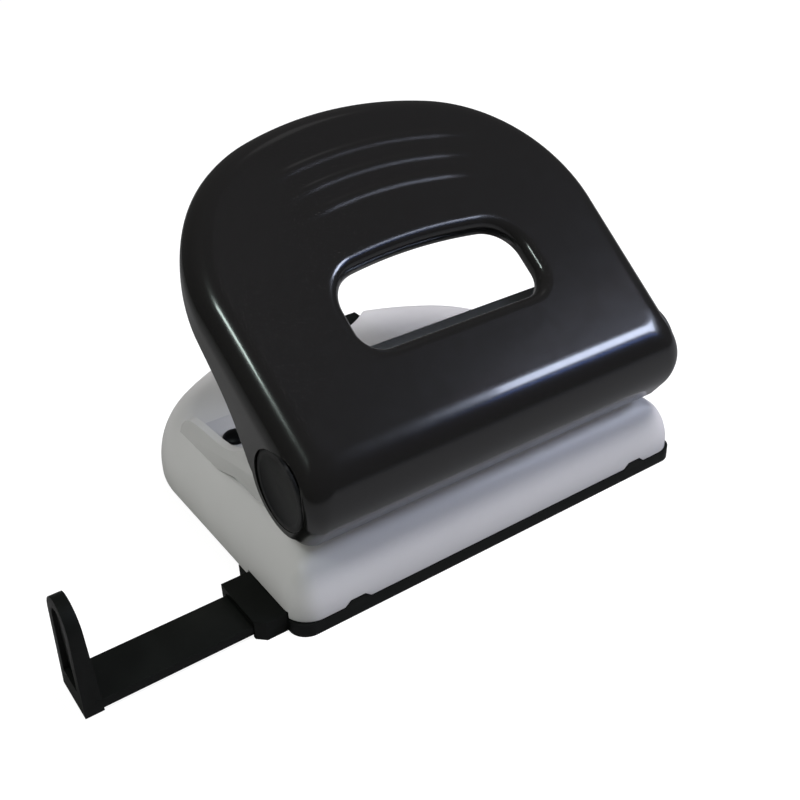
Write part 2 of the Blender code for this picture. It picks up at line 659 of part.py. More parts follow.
def lever_outline(level, inset, sheet):
    """Outline of the lever's outer or inner face at a height level over the hinge, in (x, v)."""
    nose = LEVER_NOSE_RADIUS - sheet
    front = -math.sqrt(nose**2 - max(0.0, level) ** 2)
    return d_outline(
        LEVER_HALF_WIDTH - inset,
        front,
        LEVER_LENGTH - inset,
        max(LEVER_NOSE_CORNER_RADIUS - sheet, LEVER_LEAST_RADIUS),
        LEVER_CORNER_RADIUS - inset,
        LEVER_SIDE_END,
    )


def lever_rings(sheet):
    """Rings of the lever's outer or inner face, from below the hinge up to the plate."""
    top = LEVER_NOSE_RADIUS - sheet
    edge = LEVER_EDGE_RADIUS - sheet
    low = -(LOBE_RADIUS + LEVER_SHEET / 2)
    straight = [low, 0.0] + [(top - edge) * share for share in CHEEK_LEVEL_SHARES]
    rings = []
    for level in straight:
        rings.append([(x, v, level) for x, v in lever_outline(level, sheet, sheet)])
    for i in range(6):
        turn = math.pi / 2 * i / 5
        level = top - edge + edge * math.sin(turn)
        inset = sheet + edge * (1 - math.cos(turn))
        rings.append([(x, v, level) for x, v in lever_outline(level, inset, sheet)])
    return rings


def skirt_waste():
    """Everything under the skirt's lower edge, as a (v, w) profile with the hinge lobe left whole."""
    rim = LEVER_NOSE_RADIUS - LEVER_RIM_DROP
    points = [(share * LEVER_LENGTH, rim - drop * LEVER_SKIRT_DROP) for share, drop in SKIRT_SHARES]
    start = math.atan2(points[-1][1], points[-1][0])
    lip = math.asin(-LEVER_NOSE_LIP / LOBE_RADIUS)
    points += arc(0.0, 0.0, LOBE_RADIUS, start, -math.pi - lip, 14)
    far = -LEVER_NOSE_RADIUS - OVERRUN
    points += [(far, -LEVER_NOSE_LIP), (far, -LOBE_RADIUS - OVERRUN * 3)]
    points += [(LEVER_LENGTH * SKIRT_SHARES[0][0], -LOBE_RADIUS - OVERRUN * 3)]
    return points


def opening_outline(grow):
    return d_outline(
        OPENING_HALF_WIDTH + grow,
        OPENING_FRONT - grow,
        OPENING_BACK + grow,
        OPENING_FRONT_RADIUS + grow,
        OPENING_CORNER_RADIUS + grow,
        OPENING_SIDE_END,
    )


def level_ring(outline, level):
    return [(x, v, level) for x, v in outline]


def rib(index):
    """One raised grip rib, bowed like the lever's back edge, fading out at both ends."""
    crest = RIB_FIRST + index * RIB_PITCH
    half = RIB_HALF_LENGTH + index * RIB_GROWTH
    sink = LEVER_SHEET / 2
    rings = []
    steps = 14
    for i in range(steps + 1):
        along = -1 + 2 * i / steps
        angle = along * half / RIB_CROWN_RADIUS
        fade = RIB_END_SHARE + (1 - RIB_END_SHARE) * math.sqrt(max(0.0, 1 - along**6))
        width = RIB_WIDTH * fade
        height = RIB_HEIGHT * fade
        ring = []
        for across_share, up_share in RIB_SECTION_SHARES:
            radius = RIB_CROWN_RADIUS + across_share * width
            ring.append((radius, LEVER_NOSE_RADIUS + up_share * height))
        ring.append((RIB_CROWN_RADIUS + width / 2, LEVER_NOSE_RADIUS - sink))
        ring.append((RIB_CROWN_RADIUS - width / 2, LEVER_NOSE_RADIUS - sink))
        base = crest - RIB_CROWN_RADIUS
        rings.append([(r * math.sin(angle), base + r * math.cos(angle), w) for r, w in ring])
    return loft("rib", rings)


def lever_shell():
    """The black pressed lever: plate, rolled hand opening, round nose, skirts, hinge lobes and ribs."""
    rings = list(reversed(lever_rings(0.0))) + lever_rings(LEVER_SHEET)
    shell = loft("lever_shell", rings, black_paint)
    plate = LEVER_NOSE_RADIUS
    around = opening_outline(LEVER_SHEET)
    flange = [level_ring(around, plate - drop) for drop in (OPENING_FLANGE, LEVER_SHEET / 2)]
    weld(shell, loft("flange", flange))
    mouth = [level_ring(opening_outline(0.0), plate - OPENING_FLANGE - OVERRUN / 5)]
    for i in range(5):
        turn = math.pi / 2 * i / 4
        grow = OPENING_ROLL * (1 - math.cos(turn))
        mouth.append(level_ring(opening_outline(grow), plate - OPENING_ROLL * (1 - math.sin(turn))))
    mouth.append(level_ring(opening_outline(OPENING_ROLL), plate + OVERRUN))
    cut(shell, loft("mouth", mouth))
    reach = LEVER_HALF_WIDTH + OVERRUN
    cut(shell, across("skirt_waste", skirt_waste(), -reach, reach))
    inner = LEVER_HALF_WIDTH - LEVER_SHEET
    below = -LEVER_NOSE_RADIUS - OVERRUN
    cut(shell, box("lobe_waste", (-inner, below, below), (inner, LEVER_LENGTH, -LEVER_NOSE_LIP)))
    for index in range(RIB_COUNT):
        weld(shell, rib(index))
    hole = AXLE_RADIUS + HOLE_GAP
    cut(shell, turned("axle_hole", [(hole, -reach), (hole, reach)], (0.0, 0.0, 0.0), "X"))
    for side in (-1, 1):
        face = side * (LEVER_HALF_WIDTH - CAP_RECESS)
        profile = [(CAP_RADIUS + HOLE_GAP, face), (CAP_RADIUS + HOLE_GAP, side * reach)]
        cut(shell, turned("recess", profile, (0.0, 0.0, 0.0), "X"))
    return shell


def press_bar():
    """The folded steel bar welded under the lever plate that bears on both pins."""
    along = Vector((math.cos(PRESS_TILT), -math.sin(PRESS_TILT)))
    square = Vector((math.sin(PRESS_TILT), math.cos(PRESS_TILT)))
    start = square * PRESS_OFFSET + along * PRESS_START
    end = square * PRESS_OFFSET + along * PRESS_END
    end_top = end + square * PRESS_SHEET
    top = LEVER_NOSE_RADIUS - LEVER_SHEET - TOUCH_GAP
    bend = start[0] + PRESS_SHEET
    bend_w = start[1] + (PRESS_SHEET - PRESS_SHEET * math.sin(PRESS_TILT)) / math.cos(PRESS_TILT)
    wall = start[0]
    profile = [
        (start[0], start[1]),
        (end[0], end[1]),
        (end_top[0], end_top[1]),
        (bend, bend_w),
        (bend, top),
        (wall - PRESS_FLANGE, top),
        (wall - PRESS_FLANGE, top - PRESS_SHEET),
        (wall, top - PRESS_SHEET),
    ]
    return across("press_bar", profile, -PRESS_HALF_LENGTH, PRESS_HALF_LENGTH, steel)


def hinge_axle():
    """The steel rod through both ears and both lever cheeks, bored at each end for its cap."""
    end = LEVER_HALF_WIDTH - CAP_RECESS
    axle = turned("hinge_axle", [(AXLE_RADIUS, -end), (AXLE_RADIUS, end)], (0.0, 0.0, 0.0), "X", steel)
    for side in (-1, 1):
        bottom = (AXLE_BORE_RADIUS, side * (end - AXLE_BORE_DEPTH))
        mouth = (AXLE_BORE_RADIUS, side * (end + OVERRUN))
        cut(axle, turned("bore", [bottom, mouth], (0.0, 0.0, 0.0), "X"))
    return axle


def axle_cap(name, side):
    """The round black cap over one end of the axle, with a stem pressed into its bore."""
    seat = LEVER_HALF_WIDTH - CAP_RECESS + TOUCH_GAP
    face = seat + CAP_THICKNESS
    stem = AXLE_BORE_RADIUS - TOUCH_GAP
    profile = [
        (stem, seat - CAP_STEM_LENGTH),
        (stem, seat),
        (CAP_RADIUS, seat),
        (CAP_RADIUS, face - CAP_DISH / 2),
        (CAP_RADIUS - CAP_DISH / 2, face),
        (CAP_RADIUS - CAP_RIM, face),
        (CAP_RADIUS - CAP_RIM - CAP_DISH, face - CAP_DISH / 2),
        (CAP_RIM, face - CAP_DISH / 2),
    ]
    return turned(name, [(r, side * x) for r, x in profile], (0.0, 0.0, 0.0), "X", black_plastic)


def tray_layer(name, inset, low, high):
    """A slab of the tray's outline between two heights."""
    return loft(name, [[(x, y, z) for x, y in base_outline(inset)] for z in (low, high)])


def chip_tray():
    """The black moulded bottom: floor, wall, front block with the guide's channel, and back tab."""
    inner = TRAY_INSET + TRAY_WALL
    tray = tray_layer("chip_tray", TRAY_INSET, 0.0, TRAY_WALL_TOP)
    tray.data.materials.append(black_plastic("chip_tray_finish"))
    block = tray_layer("block", 0.0, 0.0, TRAY_RIM_Z)
    reach = BASE_HALF_WIDTH + OVERRUN
    low = (-reach, TRAY_BLOCK_DEPTH, -OVERRUN)
    cut(block, box("behind", low, (reach, BASE_DEPTH + OVERRUN, BASE_TOP_Z)))
    weld(tray, block)
    cut(tray, tray_layer("chip_space", inner, TRAY_FLOOR, BASE_TOP_Z))
    notch_half = FINGER_NOTCH_RADIUS
    low = (-notch_half, TRAY_TAB_BACK, TRAY_FLOOR)
    cut(tray, box("behind_tab", low, (notch_half, BASE_DEPTH, BASE_TOP_Z)))
    right = BASE_HALF_WIDTH - inner
    corner = COLLAR_CORNER
    outline = [
        (-COLLAR_END + corner, COLLAR_FRONT),
        (right, COLLAR_FRONT),
        (right, COLLAR_BACK),
        (-COLLAR_END, COLLAR_BACK),
        (-COLLAR_END, COLLAR_FRONT + corner),
    ]
    weld(tray, loft("channel", [[(x, y, z) for x, y in outline] for z in (0.0, COLLAR_TOP_Z)]))
    weld(tray, tray_tab(0.0, 0.0, TRAY_TAB_TOP))
    cut(tray, tray_tab(TRAY_TAB_WALL, -OVERRUN, TRAY_TAB_TOP - TRAY_TAB_WALL))
    for side in (-1, 1):
        weld(tray, snap_lug(side * SNAP_OFFSET, 0.0, 0.0, TRAY_INSET))
    slide_end = GUIDE_BAR_END + TOUCH_GAP
    left = -COLLAR_END - OVERRUN
    gap = TOUCH_GAP
    wide_low = (left, GUIDE_FRONT - gap, GUIDE_Z + GUIDE_LIP - gap)
    wide_high = (slide_end, GUIDE_FRONT + GUIDE_WIDTH + gap, CHANNEL_TOP_Z)
    cut(tray, box("slide", wide_low, wide_high))
    slit_low = (left, GUIDE_FRONT + GUIDE_STEP - gap, -OVERRUN)
    slit_high = (slide_end, GUIDE_FRONT + GUIDE_WIDTH - GUIDE_STEP + gap, CHANNEL_TOP_Z / 2)
    return cut(tray, box("slit", slit_low, slit_high))


def tray_tab(inset, low, high):
    """The finger tab that fills the base's notch, or the hollow under it when inset is its wall."""
    half = TRAY_TAB_HALF_WIDTH - inset
    gap = TOUCH_GAP * 2 + inset
    outline = [point for point in notch_outline(TRAY_TAB_BACK, gap) if abs(point[0]) < half]
    outline += [(half, TRAY_TAB_BACK - inset), (-half, TRAY_TAB_BACK - inset)]
    return loft("tab", [[(x, y, z) for x, y in outline] for z in (low, high)])


def guide_tab_outline(front, back, low, high, radius):
    """The tab seen along X: straight foot, sides and a round top."""
    middle = (front + back) / 2
    half = (back - front) / 2
    shoulder = high - radius
    points = [(front, low), (back, low)]
    points += arc(middle, shoulder, radius, 0.0, math.pi, 10)
    scale = half / radius
    return points[:2] + [(middle + (y - middle) * min(1.0, scale), z) for y, z in points[2:]]


def paper_guide():
    """The sliding side stop: a stepped bar with an upright tab at its outer end."""
    inner_face = -GUIDE_REACH
    end = inner_face + GUIDE_BAR_LENGTH
    back = GUIDE_FRONT + GUIDE_WIDTH
    step_z = GUIDE_Z + GUIDE_LIP
    profile = [
        (GUIDE_FRONT + GUIDE_STEP, GUIDE_Z),
        (back - GUIDE_STEP, GUIDE_Z),
        (back - GUIDE_STEP, step_z),
        (back, step_z),
        (back, GUIDE_TOP_Z),
        (GUIDE_FRONT, GUIDE_TOP_Z),
        (GUIDE_FRONT, step_z),
        (GUIDE_FRONT + GUIDE_STEP, step_z),
    ]
    guide = across("paper_guide", profile, inner_face - GUIDE_TAB_TIP / 2, end, black_plastic)
    outline = guide_tab_outline(GUIDE_FRONT, back, GUIDE_Z, GUIDE_TAB_HEIGHT, GUIDE_TAB_TOP_RADIUS)
    rings = []
    for share in (0.0, 1.0):
        ring = []
        for y, z in outline:
            up = (z - GUIDE_Z) / (GUIDE_TAB_HEIGHT - GUIDE_Z)
            thickness = GUIDE_TAB_FOOT + (GUIDE_TAB_TIP - GUIDE_TAB_FOOT) * up
            lean = (GUIDE_TAB_FOOT - GUIDE_TAB_TIP) * GUIDE_LEAN_SHARE * up
            ring.append((inner_face - lean - (1 - share) * thickness, y, z))
        rings.append(ring)
    weld(guide, loft("tab", rings))
    margin = GUIDE_POCKET_MARGIN
    low = GUIDE_TOP_Z + margin
    high = GUIDE_TAB_HEIGHT - margin
    pocket = guide_tab_outline(GUIDE_FRONT + margin, back - margin, low, high, GUIDE_TAB_TOP_RADIUS - margin)
    outer = inner_face - GUIDE_TAB_FOOT
    cut(guide, across("pocket", pocket, outer - OVERRUN, outer + GUIDE_POCKET_DEPTH))
    return guide


def attach(item, parent):
    item.parent = parent


def empty(name, location, tilt=0.0):
    """A bare frame that pieces hang from."""
    made = bpy.data.objects.new(name, None)
    bpy.context.scene.collection.objects.link(made)
    made.location = location
    made.rotation_euler = (tilt, 0.0, 0.0)
    return made


def centre_on(item, place):
    """Move an object's origin to a place on its joint without moving its shape."""
    item.data.transform(Matrix.Translation(-Vector(place)))
    item.location = place


def build():
    clear_scene()
    stand = empty("punch_stand", (0.0, -BASE_DEPTH / 2, 0.0))
    fixed = [base_shell(), die_plate(), punch_frame(), upper_guide_bar()] + frame_rivets()
    for side, word in ((-1, "left"), (1, "right")):
        x = side * PIN_OFFSET
        fixed.append(die_rivet(word + "_die_rivet", side * DIE_RIVET_OFFSET))
        fixed.append(pin_spring(word + "_pin_spring", x))
        for item in (
            punch_pin(word + "_punch_pin", x),
            pin_clip(word + "_pin_clip", x),
            spring_washer(word + "_spring_washer", x),
        ):
            centre_on(item, (x, PIN_Y, 0.0))
            fixed.append(item)
    tray = chip_tray()
    centre_on(tray, (0.0, 0.0, TRAY_RIM_Z))
    guide = paper_guide()
    centre_on(guide, (-GUIDE_REACH, GUIDE_FRONT + GUIDE_WIDTH / 2, 0.0))
    for item in fixed + [tray, guide]:
        attach(item, stand)
    hinge = empty("lever_hinge", (0.0, HINGE_Y, HINGE_Z), LEVER_TILT)
    attach(hinge, stand)
    moving = [lever_shell(), press_bar(), hinge_axle()]
    moving += [axle_cap("left_axle_cap", -1), axle_cap("right_axle_cap", 1)]
    for item in moving:
        attach(item, hinge)
    bpy.context.view_layer.update()
    print("pin travel", round(PIN_TRAVEL / MM, 3), "mm for", round(math.degrees(LEVER_TRAVEL), 1), "degrees")


build()
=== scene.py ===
# Looks of the two-hole punch: enamelled steel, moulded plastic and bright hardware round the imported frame.
# Pieces are drawn on the bench, with Y from the front line of the base, and then set back into the frame.
import json
import math

import bmesh
import bpy
import numpy as np
from mathutils import Matrix, Vector


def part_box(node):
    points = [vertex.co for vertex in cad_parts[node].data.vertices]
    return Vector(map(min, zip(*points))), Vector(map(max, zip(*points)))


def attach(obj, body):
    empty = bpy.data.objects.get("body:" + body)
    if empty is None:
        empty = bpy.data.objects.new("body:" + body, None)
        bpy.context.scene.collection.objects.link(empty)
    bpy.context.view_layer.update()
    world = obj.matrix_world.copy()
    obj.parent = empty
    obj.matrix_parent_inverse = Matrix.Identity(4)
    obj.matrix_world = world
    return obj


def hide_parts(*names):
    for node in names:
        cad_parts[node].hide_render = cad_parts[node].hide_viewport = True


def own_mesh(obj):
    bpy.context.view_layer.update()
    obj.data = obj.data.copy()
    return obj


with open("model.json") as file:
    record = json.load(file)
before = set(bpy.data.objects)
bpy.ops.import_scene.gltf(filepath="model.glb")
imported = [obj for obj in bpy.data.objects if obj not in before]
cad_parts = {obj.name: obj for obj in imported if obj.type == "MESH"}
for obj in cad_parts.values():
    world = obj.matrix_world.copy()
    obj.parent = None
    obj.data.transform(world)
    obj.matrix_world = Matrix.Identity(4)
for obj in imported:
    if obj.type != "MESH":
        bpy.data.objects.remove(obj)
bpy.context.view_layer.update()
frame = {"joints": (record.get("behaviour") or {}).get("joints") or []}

MM = 0.001

# Camera: the photograph was taken from the front left and above, with a short telephoto lens.
# Its place and turn come from the straight edges of the base, the guide and the ears.
CAMERA_PLACE = Vector((-123.76, -192.09, 153.51)) * MM
CAMERA_AZIMUTH = math.radians(-33.94)
CAMERA_ELEVATION = math.radians(31.60)
CAMERA_ROLL = math.radians(-2.29)
CAMERA_LENS = 48.0
CAMERA_FILM_WIDTH = 36.0
CAMERA_NEAREST = 10.0 * MM

to_camera = Vector((
    math.sin(CAMERA_AZIMUTH) * math.cos(CAMERA_ELEVATION),
    -math.cos(CAMERA_AZIMUTH) * math.cos(CAMERA_ELEVATION),
    math.sin(CAMERA_ELEVATION),
))
level_right = Vector((math.cos(CAMERA_AZIMUTH), math.sin(CAMERA_AZIMUTH), 0.0))
level_up = to_camera.cross(level_right)
camera_right = level_right * math.cos(CAMERA_ROLL) + level_up * math.sin(CAMERA_ROLL)
camera_up = to_camera.cross(camera_right)
camera_data = bpy.data.cameras.new("photo_camera")
camera_data.lens = CAMERA_LENS
camera_data.sensor_width = CAMERA_FILM_WIDTH
camera_data.clip_start = CAMERA_NEAREST
camera = bpy.data.objects.new("photo_camera", camera_data)
bpy.context.scene.collection.objects.link(camera)
turn = Matrix((camera_right, camera_up, to_camera)).transposed().to_4x4()
camera.matrix_world = Matrix.Translation(CAMERA_PLACE) @ turn
bpy.context.scene.camera = camera

# Base shell: light grey enamel on 1.2 mm pressed steel, drawn in one stroke with soft pillow edges.
# Die holes, rivet holes, the finger notch, two snap notches and the guide's gap are punched out after that.
BASE_HALF_WIDTH = 54.0 * MM
BASE_DEPTH = 98.0 * MM
BASE_TOP = 17.3 * MM
BASE_RIM = 3.4 * MM
BASE_SHEET = 1.2 * MM
BASE_EDGE_RISE = 13.0 * MM
BASE_EDGE_INSET = 10.5 * MM
BASE_FRONT_RADIUS = 6.0 * MM
BASE_CORNER_RADIUS = 33.0 * MM
BASE_SIDE_END = 58.0 * MM
BASE_LEAST_RADIUS = 2.5 * MM
TOUCH_GAP = 0.3 * MM
HOLE_GAP = 0.2 * MM
OVERRUN = 5.0 * MM
EDGE_ROUND = 0.25 * MM
NOTCH_RADIUS = 27.0 * MM
NOTCH_FRONT = 78.5 * MM
NOTCH_START = math.radians(215)
NOTCH_END = math.radians(325)
SNAP_OFFSET = 39.7 * MM
SNAP_WIDTH = 6.5 * MM
SNAP_TOP_WIDTH = 3.0 * MM
SNAP_RISE = 1.2 * MM
PIN_OFFSET = 40.0 * MM
PIN_PLACE = 22.6 * MM
PIN_RADIUS = 3.0 * MM
RIVET_RADIUS = 1.6 * MM
FRAME_RIVET_PLACE = 48.0 * MM
FRAME_RIVET_OFFSETS = (-41.0 * MM, -20.0 * MM, 20.0 * MM, 41.0 * MM)
DIE_RIVET_OFFSET = 22.0 * MM
DIE_DEPTH = 14.0 * MM
COLLAR_FRONT = 4.7 * MM
COLLAR_BACK = 20.8 * MM
COLLAR_TOP = 4.6 * MM
PEEL_DEPTH = 0.012 * MM
WAVE_DEPTH = 0.22 * MM

# Steps along the front, its corner, the side, the back corner and half of the bowed back.
OUTLINE_COUNTS = (12, 10, 20, 26, 16)

bench_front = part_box("die_plate")[0].y - (PIN_PLACE - DIE_DEPTH / 2)
bench_to_frame = Matrix.Translation((0.0, bench_front, 0.0))


class Wire:
    """One shader socket that Python sums and products can use."""

    def __init__(self, shader, socket):
        self.shader = shader
        self.socket = socket

    def sum_with(self, other, operation, swapped=False):
        first, second = (other, self) if swapped else (self, other)
        settings = {"operation": operation}
        return self.shader.node("ShaderNodeMath", settings, {0: first, 1: second}, "Value")

    def __add__(self, other):
        return self.sum_with(other, "ADD")

    def __sub__(self, other):
        return self.sum_with(other, "SUBTRACT")

    def __mul__(self, other):
        return self.sum_with(other, "MULTIPLY")

    def __rsub__(self, other):
        return self.sum_with(other, "SUBTRACT", swapped=True)

    __radd__ = __add__
    __rmul__ = __mul__

    def between(self, low, high):
        """0 below low, 1 above high, and a soft step in between."""
        settings = {"interpolation_type": "SMOOTHSTEP"}
        return self.shader.node("ShaderNodeMapRange", settings, {"Value": self, 1: low, 2: high}, "Result")


class Finish:
    """A material. One method adds any node; values that never vary sit on the shader's own sockets."""

    COAT_ROUGHNESS = 0.05

    def __init__(self, name, colour, roughness, metallic=0.0, coat=0.0, specular=0.5):
        self.material = bpy.data.materials.new(name)
        self.material.use_nodes = True
        self.nodes = self.material.node_tree.nodes
        self.links = self.material.node_tree.links
        self.surface = self.nodes["Principled BSDF"]
        self.surface.inputs["Base Color"].default_value = (*colour, 1.0)
        self.surface.inputs["Roughness"].default_value = roughness
        self.surface.inputs["Metallic"].default_value = metallic
        self.surface.inputs["Coat Weight"].default_value = coat
        self.surface.inputs["Coat Roughness"].default_value = self.COAT_ROUGHNESS
        self.surface.inputs["Specular IOR Level"].default_value = specular
        self.place = self.node("ShaderNodeTexCoord", {}, {}, "Object")

    def node(self, kind, settings, sockets, output):
        made = self.nodes.new(kind)
        for name, value in settings.items():
            setattr(made, name, value)
        for name, value in sockets.items():
            self.feed(made.inputs[name], value)
        return Wire(self, made.outputs[output])

    def feed(self, socket, value):
        if isinstance(value, Wire):
            self.links.new(value.socket, socket)
        else:
            socket.default_value = value

    def set(self, name, value):
        self.feed(self.surface.inputs[name], value)

    def noise(self, scale, detail=2.0, rough=0.5, stretch=(1.0, 1.0, 1.0)):
        place = self.node("ShaderNodeMapping", {}, {"Vector": self.place, "Scale": stretch}, "Vector")
        sockets = {"Vector": place, "Scale": scale, "Detail": detail, "Roughness": rough}
        return self.node("ShaderNodeTexNoise", {}, sockets, "Fac")

    def blend(self, factor, first, second):
        settings = {"data_type": "RGBA"}
        return self.node("ShaderNodeMix", settings, {"Factor": factor, 6: first, 7: second}, 2)

    def bump(self, height, distance, strength=1.0, under=None):
        sockets = {"Height": height, "Distance": distance, "Strength": strength}
        if under is not None:
            sockets["Normal"] = under
        return self.node("ShaderNodeBump", {}, sockets, "Normal")

    def wear(self):
        """How sharply the surface bends outwards, as marked on the mesh."""
        return self.node("ShaderNodeAttribute", {"attribute_name": "edge_wear"}, {}, "Fac")


def enamel(name, colour, worn_colour, roughness, coat, specular):
    """Stoved enamel: a hard gloss with orange peel, faint sheet waviness, and rubbed edges."""
    made = Finish(name, colour, roughness, coat=coat, specular=specular)
    drift = made.noise(45.0, 3.0)
    darker = tuple(channel * 0.92 for channel in colour)
    body = made.blend(drift, (*darker, 1.0), (*colour, 1.0))
    rubbed = made.wear() * made.noise(600.0, 4.0).between(0.50, 0.72)
    made.set("Base Color", made.blend(rubbed * 0.35, body, (*worn_colour, 1.0)))
    grain = made.noise(320.0, 3.0)
    made.set("Roughness", grain * 0.08 + (roughness - 0.04) + rubbed * 0.12)
    waves = made.bump(made.noise(38.0, 1.0), WAVE_DEPTH, 0.35)
    made.set("Normal", made.bump(made.noise(900.0, 2.0), PEEL_DEPTH, 0.30, waves))
    return made.material


def arc(centre_x, centre_y, radius, start, end, steps):
    """Points of an arc, both ends included, with angles in radians."""
    turns = np.linspace(start, end, steps + 1)
    return [(centre_x + radius * math.cos(t), centre_y + radius * math.sin(t)) for t in turns]


def run(first, last, steps):
    """Even steps between two points, ends left out."""
    return [tuple(a + (b - a) * i / steps for a, b in zip(first, last)) for i in range(1, steps)]


def d_outline(half_width, front, back, front_radius, corner_radius, side_end, counts=OUTLINE_COUNTS, taper=0):
    """A D seen from above, with a bowed back and a front narrower by the taper, from its front middle."""
    centre = half_width - corner_radius
    rise = side_end - back
    crown = (corner_radius**2 - centre**2 - rise**2) / (2 * (rise + corner_radius))
    meet = math.atan2(side_end - back + crown, centre)
    quarter = math.pi / 2
    front_steps, nose_steps, side_steps, corner_steps, crown_steps = counts
    front_end = half_width - taper - front_radius
    right = [(0.0, front)]
    right += run((0.0, front), (front_end, front), front_steps)
    right += arc(front_end, front + front_radius, front_radius, -quarter, 0.0, nose_steps)
    right += run((half_width - taper, front + front_radius), (half_width, side_end), side_steps)
    right += arc(centre, side_end, corner_radius, 0.0, meet, corner_steps)
    right += arc(0.0, back - crown, crown, meet, quarter, crown_steps)[1:]
    left = [(-x, y) for x, y in reversed(right[1:-1])]
    return right + left


def base_outline(inset):
    return d_outline(
        BASE_HALF_WIDTH - inset,
        inset,
        BASE_DEPTH - inset,
        max(BASE_FRONT_RADIUS - inset, BASE_LEAST_RADIUS),
        BASE_CORNER_RADIUS - inset,
        BASE_SIDE_END,
    )


def base_rings(offset, bottom, steps=18):
    """Rings of the base's outer or inner face, from its rim to its flat top."""
    rings = [[(x, y, bottom) for x, y in base_outline(offset)]]
    for i in range(steps + 1):
        bend = math.pi / 2 * i / steps
        inset = offset + (BASE_EDGE_INSET - offset) * (1 - math.cos(bend))
        height = BASE_TOP - BASE_EDGE_RISE + (BASE_EDGE_RISE - offset) * math.sin(bend)
        rings.append([(x, y, height) for x, y in base_outline(inset)])
    return rings


def solid(name, rings):
    """A closed skin through rings of equal length, with its first and last ring filled."""
    bm = bmesh.new()
    loops = [[bm.verts.new(point) for point in ring] for ring in rings]
    count = len(loops[0])
    for lower, upper in zip(loops, loops[1:]):
        for i in range(count):
            j = (i + 1) % count
            bm.faces.new((lower[i], lower[j], upper[j], upper[i]))
    bm.faces.new(list(reversed(loops[0])))
    bm.faces.new(loops[-1])
    bmesh.ops.recalc_face_normals(bm, faces=bm.faces)
    mesh = bpy.data.meshes.new(name)
    bm.to_mesh(mesh)
    bm.free()
    made = bpy.data.objects.new(name, mesh)
    bpy.context.scene.collection.objects.link(made)
    return made


def upright(name, outline, low, high):
    """An outline in (x, y) carried straight up."""
    return solid(name, [[(x, y, z) for x, y in outline] for z in (low, high)])


def sideways(name, profile, left, right):
    """A profile in (y, z) carried along X."""
    return solid(name, [[(x, y, z) for y, z in profile] for x in (left, right)])


def block(name, low, high):
    corners = [(low[0], low[1]), (high[0], low[1]), (high[0], high[1]), (low[0], high[1])]
    return upright(name, corners, low[2], high[2])


def turned(name, profile, centre, axis="Z", count=64):
    """A solid turned from (radius, height) pairs about an upright or sideways line through centre."""
    rings = []
    for radius, height in profile:
        ring = []
        for i in range(count):
            a = radius * math.cos(math.tau * i / count)
            b = radius * math.sin(math.tau * i / count)
            upward = (centre[0] + a, centre[1] + b, height)
            ring.append(upward if axis == "Z" else (height, centre[1] + a, centre[2] + b))
        rings.append(ring)
    return solid(name, rings)


def baked(item):
    """Replace an object's mesh by what its modifiers make of it."""
    graph = bpy.context.evaluated_depsgraph_get()
    result = bpy.data.meshes.new_from_object(item.evaluated_get(graph), depsgraph=graph)
    item.modifiers.clear()
    item.data = result
    return item


def combined(target, tool, operation):
    step = target.modifiers.new(operation, "BOOLEAN")
    step.operation = operation
    step.solver = "EXACT"
    step.object = tool
    baked(target)
    bpy.data.objects.remove(tool, do_unlink=True)


def cut(target, tool):
    combined(target, tool, "DIFFERENCE")


def weld(target, tool):
    combined(target, tool, "UNION")


def drill(target, x, y, radius, low, high, count=64):
    """A round hole straight down through a piece, between two levels that lie outside it."""
    cut(target, turned("hole", [(radius, low), (radius, high)], (x, y), count=count))


def rounded(item, width=EDGE_ROUND, segments=3, least_angle=38):
    """Take the sharpness off every edge, as paint, plating or a mould does."""
    bevel = item.modifiers.new("edge", "BEVEL")
    bevel.width = width
    bevel.segments = segments
    bevel.limit_method = "ANGLE"
    bevel.angle_limit = math.radians(least_angle)
    bevel.use_clamp_overlap = True
    bevel.harden_normals = False
    baked(item)


def mark_wear(item, slight=0.5, sharp=2.5):
    """Mark on each face how tightly it bends outwards, from 0 to 1 between two curvatures in 1/mm."""
    bm = bmesh.new()
    bm.from_mesh(item.data)
    marks = np.zeros(len(bm.faces))
    for face in bm.faces:
        spread = max(face.calc_area(), 1e-12)
        shared = [edge for edge in face.edges if edge.is_manifold]
        bends = [edge.calc_face_angle_signed(0.0) * edge.calc_length() for edge in shared]
        curvature = max(bends, default=0.0) / spread * MM
        marks[face.index] = min(1.0, max(0.0, (curvature - slight) / (sharp - slight)))
    bm.free()
    layer = item.data.attributes.new("edge_wear", "FLOAT", "FACE")
    layer.data.foreach_set("value", marks.astype(np.float32))


def dress(item, finish, body, *nodes, placing=bench_to_frame, crease=30):
    """Set a finished piece into the frame, shade it, give it its finish and tie it to its body."""
    item.data.transform(placing)
    item.data.materials.clear()
    item.data.materials.append(finish)
    item.data.shade_smooth()
    item.data.set_sharp_from_angle(angle=math.radians(crease))
    mark_wear(item)
    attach(item, body)
    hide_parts(*nodes)


def notch_outline(back, gap=0.0):
    """The round finger notch, open to the back, or with a gap what fills it."""
    centre = NOTCH_FRONT + NOTCH_RADIUS
    radius = NOTCH_RADIUS - gap
    return arc(0.0, centre, radius, NOTCH_START, NOTCH_END, 48) + [(radius, back), (-radius, back)]


def snap_lug(x, gap, front, back):
    """A tapered lug on the tray's rim, or with a gap the notch that takes it."""
    foot = SNAP_WIDTH / 2 + gap
    top = SNAP_TOP_WIDTH / 2 + gap
    low = -OVERRUN if gap else BASE_RIM / 2
    shoulder = BASE_RIM - TOUCH_GAP
    rise = shoulder + SNAP_RISE + gap
    profile = [(-foot, low), (foot, low), (foot, shoulder), (top, rise), (-top, rise), (-foot, shoulder)]
    return solid("snap", [[(x + a, y, z) for a, z in profile] for y in (front, back)])


